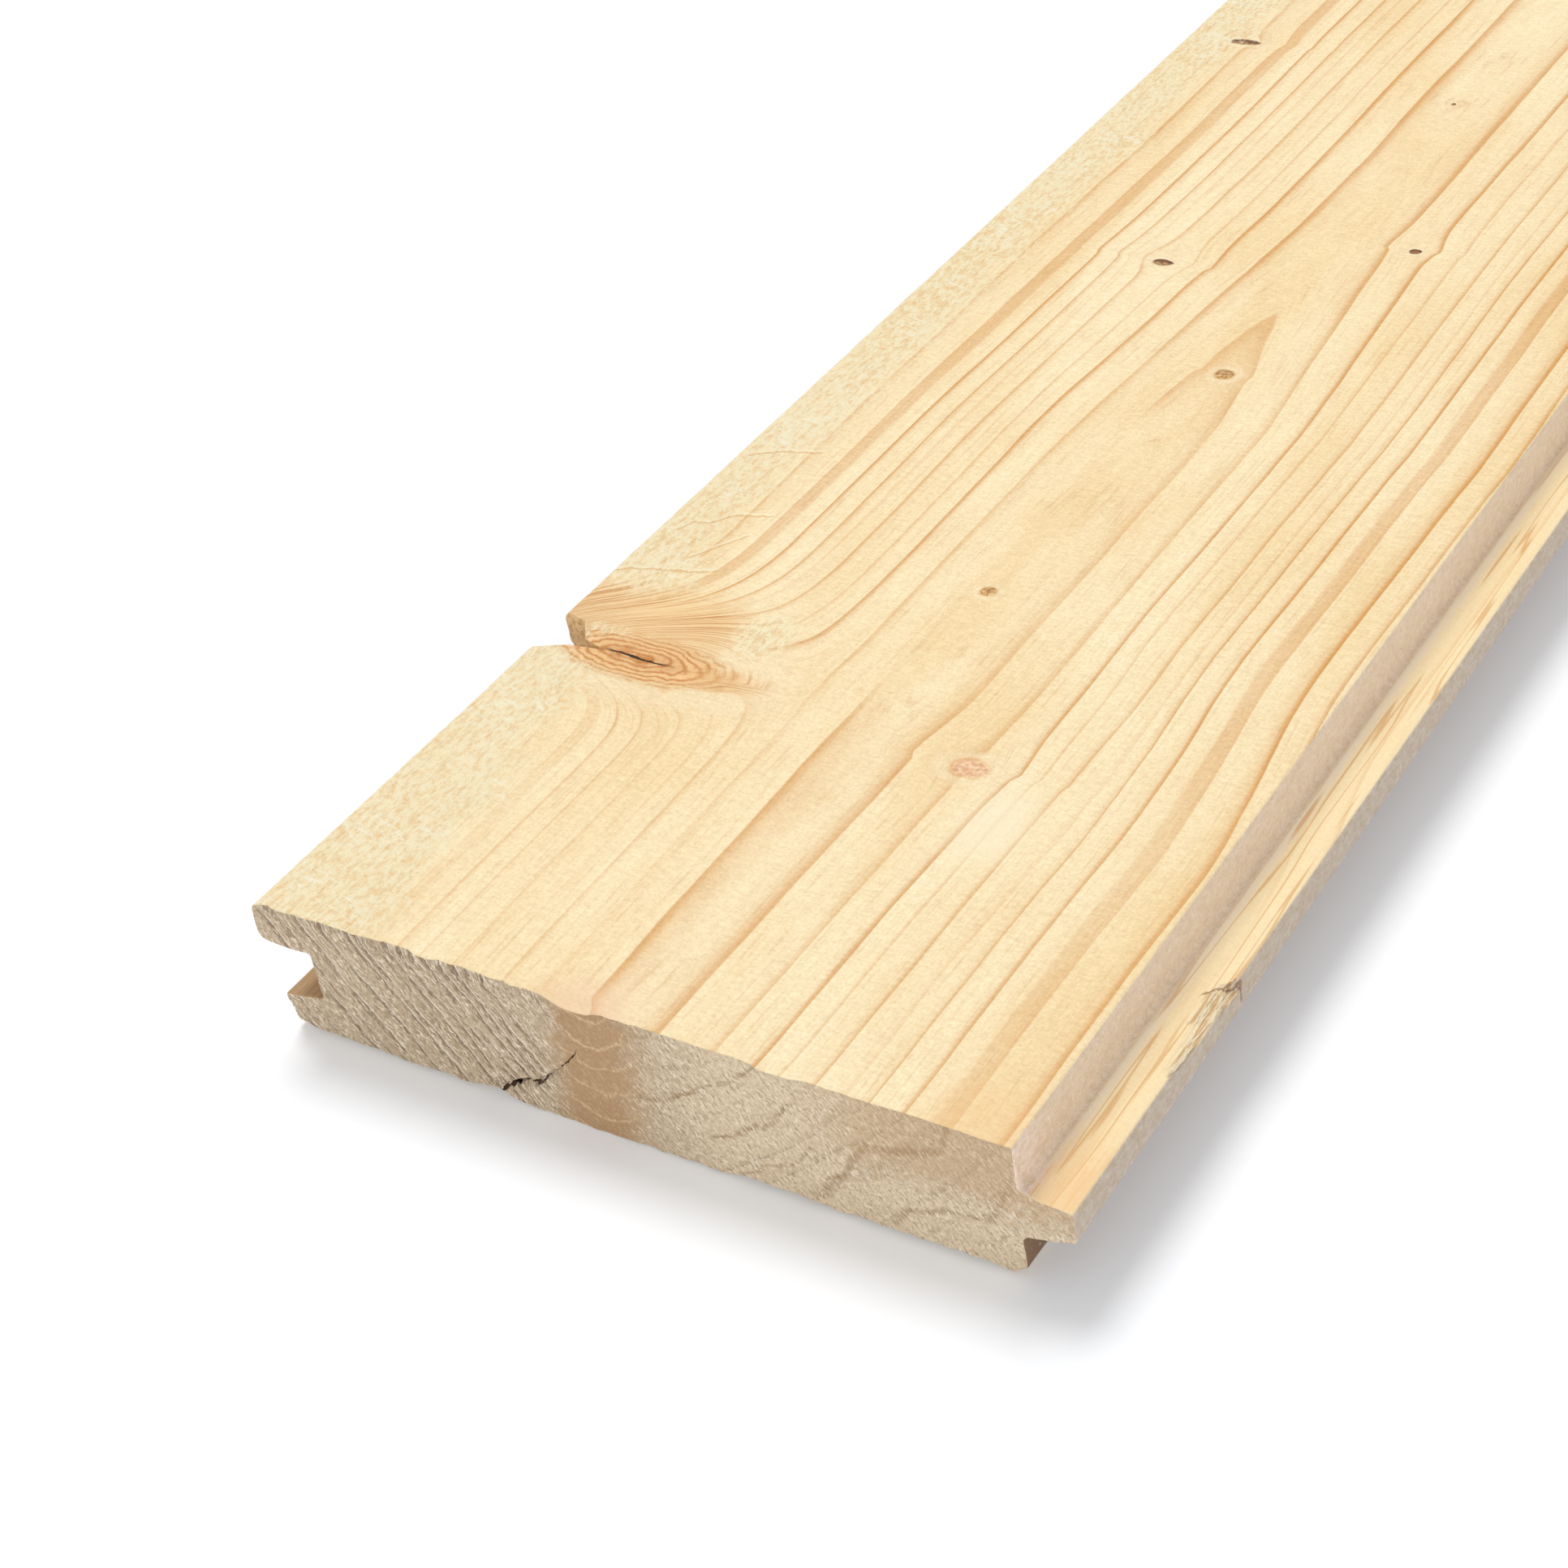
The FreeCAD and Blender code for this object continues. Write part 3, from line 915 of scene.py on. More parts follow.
def branch_group():
    """Branch nearest to the surface: the bend that it gives to the rings, and its own marks.

    A thick branch carries the rings outwards with it. A thin one only pushes them apart.
    """
    outputs = [
        (name, "Float") for name in (
            "Bend", "Heart", "Rim", "Halo", "Contours", "Dark", "Crack", "Ring", "Upper", "Wide", "Core",
        )
    ]
    group, nodes, into, out = new_group("Branch", [("Place", "Vector", None)], outputs)

    def attribute(name):
        return nodes.add("ShaderNodeAttribute", attribute_name=name).outputs["Vector"]

    place = into["Place"]
    way = attribute("branch_way")
    radius, reach, rise = nodes.split(attribute("branch_size"))
    dark, halo, crack = nodes.split(attribute("branch_look"))
    start = attribute("branch_start")
    offset = nodes.vector("SUBTRACT", place, start)
    out_along = nodes.vector("DOT_PRODUCT", offset, way)
    across = nodes.vector("SUBTRACT", offset, nodes.vector("SCALE", way, scale=out_along))
    distance = nodes.vector("LENGTH", across)
    start_x, _, start_z = nodes.split(start)
    above = nodes.minus(start_z, THICKNESS)
    length = nodes.divide(above, nodes.absolute(nodes.split(way)[2]))
    part_out = nodes.divide(out_along, length)
    outside = nodes.step(part_out, 0.3, 0.6)
    spread = nodes.step(part_out, 0.35, 0.95)
    sideways = nodes.split(across)[1]
    below = nodes.step(sideways, 1.0, -1.0, 1.0, 1.0 + BELOW_BRANCH)
    falloff = nodes.math("POWER", nodes.divide(nodes.times(distance, below), reach), BEND_POWER)
    way_x = nodes.split(way)[0]
    face_x = nodes.plus(start_x, nodes.times(way_x, length))
    beside = nodes.times(nodes.minus(nodes.split(place)[0], face_x), nodes.math("SIGN", way_x))
    pushed = nodes.scale(nodes.divide(beside, reach), -0.6, 0.6, -1.0, 1.0)
    carried = nodes.step(rise, 6.5, 8.5)
    pushed = nodes.plus(nodes.times(pushed, nodes.minus(1.0, carried)), carried)
    bend = nodes.times(rise, nodes.math("EXPONENT", nodes.times(falloff, -1.0)), pushed)
    wobble = nodes.scale(nodes.noise(place, 2.2, 2.0), 0.0, 1.0, 0.72, 1.28)
    near = nodes.times(nodes.divide(distance, radius), wobble)
    heart = nodes.times(nodes.step(near, 1.12, 0.88), outside)
    rim = nodes.times(nodes.step(near, 0.72, 0.98), nodes.step(near, 1.25, 1.02))
    rim = nodes.times(rim, outside)
    around = nodes.times(nodes.step(near, 3.0, 1.0), nodes.times(halo, outside))
    warp = nodes.sway(8.0, place, 4.5, 4.0, 0.6)
    waves = nodes.math("SINE", nodes.plus(nodes.times(distance, 7.5), warp))
    contours = nodes.math("POWER", nodes.scale(waves, -1.0, 1.0, 0.0, 1.0), 2.2)
    contours = nodes.times(contours, nodes.step(near, 1.35, 0.95), nodes.scale(crack, 0.0, 0.5, 0.0, 1.0))
    wander = nodes.sway(0.6, place, 2.4, 2.0)
    split = nodes.absolute(nodes.plus(sideways, wander))
    split = nodes.times(nodes.step(split, 0.24, 0.08), nodes.step(near, 0.5, 0.3))
    for name, value in (
        ("Bend", nodes.times(bend, spread)), ("Heart", heart), ("Rim", rim), ("Halo", around),
        ("Contours", contours), ("Dark", dark), ("Crack", nodes.times(split, crack)),
        ("Ring", nodes.times(nodes.step(near, 1.1, 1.4), nodes.step(near, 2.6, 1.6), outside)),
        ("Upper", nodes.step(nodes.divide(sideways, radius), -0.4, 0.5)), ("Wide", carried),
        ("Core", nodes.step(near, 0.7, 0.1)),
    ):
        nodes.set(out.inputs[name], value)
    return group


def ring_distance(nodes, place, bend):
    """Distance of a place from the pith, as the rings run, and its part across the board."""
    x, y, z = nodes.split(place)
    sideways = nodes.curve(y, BOARD_LENGTH, [(along, side) for along, side, _ in PITH], -8.0, 8.0)
    height = nodes.curve(y, BOARD_LENGTH, [(along, up) for along, _, up in PITH], 14.0, 26.0)
    slow = nodes.vector("MULTIPLY", place, (0.05, 0.012, 0.05))
    wave = nodes.sway(0.7, slow, 1.0, 1.0)
    quick = nodes.vector("MULTIPLY", place, (0.2, 0.045, 0.2))
    ripple = nodes.sway(0.22, quick, 1.0, 2.0)
    plain = nodes.minus(x, sideways)
    outward = nodes.larger(nodes.minus(-5.0, plain), 0.0)
    left = nodes.times(outward, nodes.curve(y, BOARD_LENGTH, LEFT_STRETCH, -0.1, 0.1))
    right = nodes.times(nodes.step(x, 17.0, 24.0), nodes.curve(y, BOARD_LENGTH, RIGHT_SHIFT, -2.0, 2.0))
    spread = nodes.times(nodes.larger(nodes.minus(x, 30.0), 0.0), -0.13)
    spread = nodes.minus(spread, nodes.step(x, 29.0, 34.0, 0.0, 1.5))
    spread = nodes.times(spread, nodes.step(y, 90.0, 50.0))
    bulge = nodes.times(
        nodes.step(x, -2.0, -5.0), nodes.step(x, -13.0, -9.0), nodes.step(y, 75.0, 50.0, 0.0, 0.9)
    )
    left = nodes.plus(left, bulge)
    across = nodes.plus(nodes.plus(plain, left), nodes.plus(right, spread))
    over = nodes.minus(nodes.plus(height, THICKNESS), z)
    powers = [nodes.math("POWER", nodes.absolute(part), 1.5) for part in (across, over)]
    distance = nodes.math("POWER", nodes.plus(*powers), 2.0 / 3.0)
    distance = nodes.minus(distance, bend)
    distance = nodes.plus(distance, nodes.plus(wave, ripple))
    return nodes.larger(distance, 0.5), across


def local_force(nodes, force, number, across, x, y):
    """Strength of the dark wood, changed for the third and fourth ring and by the tongue near the front."""
    faint = nodes.times(nodes.step(y, 56.0, 76.0), nodes.step(y, 158.0, 144.0))
    faint = nodes.times(faint, nodes.step(across, 2.0, -2.0, 0.5, 0.93))
    faint = nodes.plus(faint, nodes.step(y, 148.0, 162.0, 0.0, 0.45))
    strong = nodes.times(nodes.step(y, 60.0, 48.0), nodes.step(across, 2.0, -2.0, 0.0, 0.12))
    third = nodes.math("LESS_THAN", nodes.absolute(nodes.minus(number, 2.5)), 0.25)
    fourth = nodes.math("LESS_THAN", nodes.absolute(nodes.minus(number, 3.5)), 0.25)
    change = nodes.times(third, nodes.minus(strong, faint))
    change = nodes.plus(change, nodes.times(fourth, nodes.step(y, 150.0, 200.0, 0.0, 0.9)))
    low_right = nodes.times(nodes.step(x, 28.0, 34.0), nodes.step(y, 80.0, 50.0, 0.0, 0.32))
    change = nodes.minus(change, low_right)
    return nodes.times(force, nodes.plus(1.0, change))


def ring_group():
    """Year rings round the pith, whose distance is (|x|^1.5 + |z|^1.5)^(2/3), less the bend at a branch.

    A slow wave and a quick ripple along the board keep the rings from being even. Late is the dark wood: it
    grows towards a ring's outer edge and stops there sharply. Band is a softer, wider tone of the same ring.
    """
    inputs = [("Place", "Vector", None), ("Bend", "Float", 0.0)]
    outputs = [("Late", "Float"), ("Band", "Float"), ("Distance", "Float")]
    group, nodes, into, out = new_group("Year rings", inputs, outputs)
    x, y, _ = nodes.split(into["Place"])
    distance, across = ring_distance(nodes, into["Place"], into["Bend"])
    count = float(len(RINGS))
    edges = [(0.0, 0.0)] + [(edge, index + 1.0) for index, (edge, _, _, _) in enumerate(RINGS)]
    edges.append((RING_REACH, count + 0.2))
    ring = nodes.curve(distance, RING_REACH, edges, 0.0, count)
    part = nodes.math("FRACT", ring)
    number = nodes.plus(nodes.math("FLOOR", ring), 0.5)
    strength = nodes.add("ShaderNodeValToRGB", {"Fac": nodes.divide(number, count)})
    ramp = strength.color_ramp
    ramp.interpolation = "CONSTANT"
    ramp.elements.remove(ramp.elements[1])
    for index, (_, force, width, sharp) in enumerate(RINGS):
        element = ramp.elements[0] if index == 0 else ramp.elements.new(index / count)
        element.color = (force, width, sharp, 1.0)
    force, width, sharp = nodes.add("ShaderNodeSeparateColor", {"Color": strength.outputs["Color"]}).outputs
    line = nodes.times(nodes.step(part, 0.80, 0.97), nodes.step(part, 1.0, 0.975))
    fade = nodes.math("POWER", part, nodes.divide(2.4, width))
    plateau = nodes.times(nodes.step(part, 0.45, 0.62), nodes.math("GREATER_THAN", width, 0.9))
    fade = nodes.larger(fade, plateau)
    fade = nodes.times(fade, nodes.step(part, 1.0, 0.96))
    force = local_force(nodes, force, number, across, x, y)
    late = nodes.times(nodes.times(line, force), sharp)
    band = nodes.times(fade, force)
    for name, value in (("Late", late), ("Band", band), ("Distance", distance)):
        nodes.set(out.inputs[name], value)
    return group


def fibre_group():
    """Fine streaks along the rings, soft clouds of tone, and the nap of short torn fibres."""
    outputs = [("Streaks", "Float"), ("Clouds", "Float"), ("Nap", "Float"), ("Specks", "Float")]
    inputs = [("Place", "Vector", None), ("Distance", "Float", 0.0)]
    group, nodes, into, out = new_group("Fibres", inputs, outputs)
    place = into["Place"]
    x, y, _ = nodes.split(place)
    flow = nodes.plus(nodes.times(into["Distance"], 2.1), nodes.times(x, 0.35))
    streaks = nodes.noise(nodes.join(flow, nodes.times(y, 0.07), 0.0), 1.0, 3.0, 0.65)
    clouds = nodes.noise(nodes.vector("MULTIPLY", place, (0.07, 0.018, 0.07)), 1.0, 3.0, 0.5)
    nap = nodes.noise(nodes.vector("MULTIPLY", place, (1.3, 0.8, 1.3)), 1.0, 3.0, 0.65)
    specks = nodes.step(nodes.noise(place, 1.1, 2.0, 0.6), 0.64, 0.72)
    for name, value in (("Streaks", streaks), ("Clouds", clouds), ("Nap", nap), ("Specks", specks)):
        nodes.set(out.inputs[name], value)
    return group


def grain_groups():
    """The four groups that every finish of the board uses."""
    return {
        "place": millimetre_group(),
        "branch": branch_group(),
        "rings": ring_group(),
        "fibres": fibre_group(),
    }


def paint_knots(nodes, tint, place, branch, wood):
    """Colours of the knots: sound ones with their contours, pink and dark ones, their rims and cracks."""
    mottle = nodes.step(nodes.noise(place, 0.7, 2.0), 0.35, 0.65)
    sound = nodes.mix(mottle, colour(190, 130, 40), colour(244, 206, 146))
    pink = nodes.mix(mottle, colour(222, 170, 126), colour(248, 212, 172))
    sound = nodes.mix(nodes.step(branch["Dark"], 0.15, 0.02), sound, pink)
    core = nodes.times(branch["Core"], nodes.step(nodes.noise(place, 3.0, 2.0), 0.4, 0.6, 0.3, 1.0))
    wide = nodes.mix(core, colour(248, 202, 142), colour(206, 138, 70))
    sound = nodes.mix(branch["Wide"], sound, wide)
    sound = nodes.mix(nodes.times(branch["Contours"], 0.85), sound, tuple(wood.knot_wood))
    dead = nodes.mix(mottle, tuple(wood.dead_knot), colour(134, 76, 16))
    darkness = nodes.times(branch["Dark"], nodes.scale(branch["Upper"], 0.0, 1.0, 0.7, 1.3))
    knot = nodes.mix(darkness, sound, dead)
    tint = nodes.mix(nodes.times(branch["Contours"], 0.6), tint, tuple(wood.knot_wood))
    tint = nodes.mix(nodes.times(branch["Heart"], 0.97), tint, knot)
    upper = nodes.scale(branch["Upper"], 0.0, 1.0, 0.25, 0.95)
    rim = nodes.times(branch["Rim"], nodes.step(branch["Dark"], 0.2, 0.5), upper)
    tint = nodes.mix(rim, tint, tuple(wood.dead_knot))
    tint = nodes.mix(branch["Crack"], tint, colour(24, 8, 0))
    return tint


def fine_grain(nodes, tint, place, streaks):
    """Grit, ripples and streaks that darken and lighten the wood, its blue the most."""
    grit = nodes.noise(place, 0.40, 2.0, 0.7)
    ripple = nodes.noise(nodes.vector("MULTIPLY", place, (0.55, 1.6, 0.8)), 1.0, 2.0, 0.6)
    grain = nodes.plus(
        nodes.scale(grit, 0.25, 0.75, -0.5, 0.5), nodes.scale(ripple, 0.25, 0.75, -0.28, 0.28),
        nodes.scale(streaks, 0.25, 0.75, 0.25, -0.25),
    )
    parts = [nodes.scale(grain, -1.0, 1.0, 1.0 - depth, 1.0 + depth) for depth in GRAIN_DEPTHS]
    return nodes.mix(1.0, tint, nodes.join(*parts), "MULTIPLY")


def side_grain(nodes, groups, wood, forces, rough=0.0):
    """Colour of a face cut along the grain, with the masks that its relief needs.

    The forces are those of the sharp lines and of the soft bands. Rough wood hides both.
    """
    line_force, band_force = forces
    place = nodes.group(groups["place"], {})["Place"]
    branch = nodes.group(groups["branch"], {"Place": place})
    rings = nodes.group(groups["rings"], {"Place": place, "Bend": branch["Bend"]})
    fibres = nodes.group(groups["fibres"], {"Place": place, "Distance": rings["Distance"]})
    x, y, _ = nodes.split(place)
    left = nodes.times(nodes.step(x, -7.0, -14.0), nodes.step(y, 96.0, 58.0))
    quiet = nodes.minus(1.0, nodes.times(left, 0.66))
    quiet = nodes.times(quiet, nodes.step(x, -44.0, -46.5, 1.0, 0.6))
    drift = nodes.scale(fibres["Clouds"], 0.3, 0.7, 0.7, 1.15)
    shown = nodes.minus(1.0, nodes.times(rough, 0.72))
    force = nodes.times(quiet, drift, shown)
    tone = nodes.scale(fibres["Clouds"], 0.35, 0.65, 0.0, 1.0)
    base = nodes.mix(tone, tuple(wood.early_wood), tuple(wood.tan_wood))
    band = nodes.math("MULTIPLY", nodes.times(rings["Band"], force), band_force, clamp=True)
    line = nodes.math("MULTIPLY", nodes.times(rings["Late"], force), line_force, clamp=True)
    tint = nodes.mix(band, base, tuple(wood.late_wood))
    tint = nodes.mix(line, tint, tuple(wood.late_wood))
    hair = nodes.step(fibres["Streaks"], 0.56, 0.72, 0.0, 0.20)
    tint = nodes.mix(hair, tint, tuple(wood.late_wood))
    warm = nodes.times(branch["Halo"], 0.28)
    tint = nodes.mix(warm, tint, tuple(wood.late_wood))
    tint = nodes.mix(nodes.times(branch["Ring"], 0.45), tint, colour(255, 240, 202))
    tint = paint_knots(nodes, tint, place, branch, wood)
    tint = fine_grain(nodes, tint, place, fibres["Streaks"])
    return tint, place, branch, rings, fibres


def wood_shader(nodes, tint, height, distance, roughness):
    """Principled shader with its colour, its relief in millimetres and its roughness."""
    shader = nodes.add("ShaderNodeBsdfPrincipled")
    nodes.set(shader.inputs["Base Color"], tint)
    nodes.set(shader.inputs["Roughness"], roughness)
    shader.inputs["Specular IOR Level"].default_value = 0.28
    bump = nodes.add("ShaderNodeBump", {"Height": height, "Distance": distance * MM})
    nodes.set(shader.inputs["Normal"], bump.outputs[0])
    output = nodes.add("ShaderNodeOutputMaterial")
    nodes.set(output.inputs["Surface"], shader.outputs[0])


def new_material(name):
    """An empty node material and its nodes."""
    material = bpy.data.materials.new(name)
    material.use_nodes = True
    material.node_tree.nodes.clear()
    return material, ShaderNodes(material.node_tree)


def torn_strip(nodes, place, x, y):
    """Masks on the planed face: the rough strip, the band above the edge knot, and the torn spot."""
    border = nodes.scale(y, 10.0, 75.0, -41.0, -48.5)
    ragged = nodes.plus(x, nodes.sway(8.0, place, 12.0, 3.0))
    rough = nodes.step(nodes.minus(ragged, border), 4.5, -4.5)
    wander = nodes.sway(2.5, place, 3.0, 2.0)
    high = nodes.plus(y, wander)
    above = nodes.times(
        nodes.step(high, 68.0, 71.5), nodes.step(high, 84.0, 77.0), nodes.step(x, -27.0, -38.0)
    )
    torn = nodes.face_spot(place, (-28.0, 76.0), (6.0, 8.5))
    knot = nodes.face_spot(place, (-43.0, 65.2), (17.0, 6.5))
    smooth = nodes.larger(above, nodes.times(knot, 1.4))
    rough = nodes.times(rough, nodes.math("SUBTRACT", 1.0, smooth, clamp=True))
    rough = nodes.larger(rough, nodes.times(torn, 0.9))
    return rough, above, torn


def tear_face(nodes, tint, tufts, rough, place):
    """Pale tufts, darker pits and long pale scratches on the rough strip."""
    x, y, _ = nodes.split(place)
    light = nodes.times(nodes.step(tufts, 0.47, 0.57), rough, 0.9)
    tint = nodes.mix(light, tint, colour(255, 241, 202))
    pits = nodes.times(nodes.step(tufts, 0.46, 0.35), rough, 0.4)
    tint = nodes.mix(pits, tint, colour(240, 184, 112))
    tilted = nodes.plus(nodes.times(y, 0.55), nodes.times(x, 0.16))
    scratch = nodes.noise(nodes.join(nodes.times(x, 0.09), tilted, 0.0), 1.0, 2.0, 0.5)
    scratch = nodes.step(nodes.absolute(nodes.minus(scratch, 0.5)), 0.028, 0.006)
    scratch = nodes.times(scratch, rough, nodes.step(nodes.noise(place, 9.0, 1.0), 0.5, 0.6), 0.7)
    tint = nodes.mix(scratch, tint, colour(255, 250, 224))
    return tint


def hair_cracks(nodes, tint, tufts, place):
    """Hair cracks across the rough strip, each with a pale torn edge beside it."""
    x, y, _ = nodes.split(place)
    from_front = nodes.minus(y, HAIRS_FRONT)
    swayed = nodes.plus(from_front, nodes.scale(tufts, 0.0, 1.0, -0.8, 0.8))
    for points in FACE_HAIRS:
        course = [(a + HAIRS_LEFT, b - HAIRS_FRONT) for a, b in points]
        from_left = nodes.plus(x, HAIRS_LEFT)
        dark = band_along(nodes, from_left, swayed, course, 0.34)
        light = band_along(nodes, from_left, nodes.minus(swayed, 0.6), course, 0.5)
        tint = nodes.mix(nodes.times(light, 0.55), tint, colour(255, 244, 208))
        tint = nodes.mix(nodes.times(dark, 0.5), tint, colour(218, 160, 88))
    return tint


def planed_material(groups, wood):
    """Planed show face: clean grain, with a rough strip where the plane tore the groove's edge.

    Round the edge knot the wood is warmer in a band above it and in a tail beside it, and torn where the two
    meet. Above the band, a few hair cracks cross the strip. The front edge is flushed over the end's bruise
    and at its corner by the tongue.
    """
    material, nodes = new_material("planed spruce")
    place = nodes.group(groups["place"], {})["Place"]
    x, y, _ = nodes.split(place)
    rough, above, torn = torn_strip(nodes, place, x, y)
    tint, place, branch, rings, fibres = side_grain(nodes, groups, wood, (1.05, 0.9), rough)
    tail = nodes.face_spot(place, (-27.0, 64.6), (9.5, 4.0))
    flushed = nodes.larger(nodes.times(above, 0.62), nodes.times(tail, 0.5))
    warm = nodes.mix(nodes.step(x, -46.0, -58.0), colour(238, 191, 128), colour(224, 172, 108))
    tint = nodes.mix(flushed, tint, warm)
    hairs = nodes.step(fibres["Streaks"], 0.50, 0.60)
    lines = nodes.times(hairs, nodes.larger(above, tail), 0.8)
    tint = nodes.mix(lines, tint, colour(202, 142, 76))
    pale = nodes.times(nodes.step(fibres["Streaks"], 0.46, 0.38), above, 0.75)
    tint = nodes.mix(pale, tint, colour(255, 226, 172))
    for centre, radii, strength, tone in FACE_TONES:
        spot = nodes.face_spot(place, centre, radii)
        tint = nodes.mix(nodes.times(spot, strength), tint, colour(*tone))
    stretched = nodes.vector("MULTIPLY", place, (1.0, 0.45, 1.0))
    tufts = nodes.noise(stretched, 0.8, 4.0, 0.7)
    tint = tear_face(nodes, tint, tufts, rough, place)
    tint = hair_cracks(nodes, tint, tufts, place)
    bright = nodes.times(torn, nodes.step(tufts, 0.45, 0.6), 0.7)
    tint = nodes.mix(bright, tint, colour(255, 244, 204))
    nap = nodes.times(tufts, nodes.plus(nodes.times(rough, 0.42), 0.06))
    height = nodes.plus(nap, nodes.times(fibres["Streaks"], 0.06))
    height = nodes.plus(height, nodes.times(rings["Late"], 0.03))
    height = nodes.minus(height, nodes.times(branch["Crack"], 0.12))
    torn_wall = nodes.absolute(nodes.split(nodes.add("ShaderNodeNewGeometry").outputs["Normal"])[1])
    torn_wall = nodes.times(nodes.step(torn_wall, 0.4, 0.7), nodes.step(y, 2.0, 4.0))
    tint = nodes.mix(nodes.times(torn_wall, 0.8), tint, colour(190, 148, 96))
    wood_shader(nodes, tint, height, 1.0, nodes.scale(rough, 0.0, 1.0, 0.58, 0.8))
    return material


def splinter_bed(nodes, tint, place, nap):
    """Long loose fibres in the torn splinter's bed, and the dark mark at its slanting end."""
    x, y, z = nodes.split(place)
    torn = nodes.add("ShaderNodeAttribute", attribute_name="splinter").outputs["Fac"]
    strands = nodes.noise(nodes.vector("MULTIPLY", place, (2.8, 0.10, 2.8)), 1.0, 3.0, 0.6)
    fibre = nodes.mix(nodes.step(strands, 0.40, 0.52), colour(222, 180, 128), colour(255, 238, 202))
    tint = nodes.mix(nodes.times(torn, 0.9), tint, fibre)
    inner_x, inner_y, _ = SPLINTER_INNER
    slant = nodes.times(nodes.minus(x, inner_x), SPLINTER_SLANT)
    # Painted shadow: a dark red-brown line along the step at the bed's slanting end, standing in for the
    # step's shade
    end = nodes.minus(y, nodes.plus(inner_y + 0.2, slant))
    end = nodes.absolute(nodes.plus(end, nodes.scale(nap, 0.0, 1.0, -0.7, 0.7)))
    end = nodes.times(nodes.step(end, 0.34, 0.08), nodes.step(x, 57.4, 57.9), nodes.step(z, 9.0, 10.5))
    tint = nodes.mix(nodes.times(end, 0.7), tint, colour(140, 92, 66))
    return tint, torn, strands


def shade_hollows(nodes, tint, place, strands):
    """Brown shade inside the groove, and a darker one under the tongue."""
    x, _, z = nodes.split(place)
    inside = nodes.times(nodes.step(x, -49.0, -51.0), nodes.step(z, 15.2, 14.2))
    under = nodes.times(nodes.step(x, 52.0, 53.5), nodes.step(z, 8.8, 7.6))
    shaded = nodes.larger(inside, under)
    painted_shade_brown = nodes.mix(nodes.step(strands, 0.40, 0.62), colour(146, 104, 70), colour(186, 142, 102))
    # Painted shade: brown laid inside the groove and under the tongue, and a darker brown under the tongue,
    # where these hollows lie in shade
    tint = nodes.mix(nodes.times(shaded, 0.72), tint, painted_shade_brown)
    tint = nodes.mix(nodes.times(under, 0.7), tint, colour(112, 84, 64))
    return tint


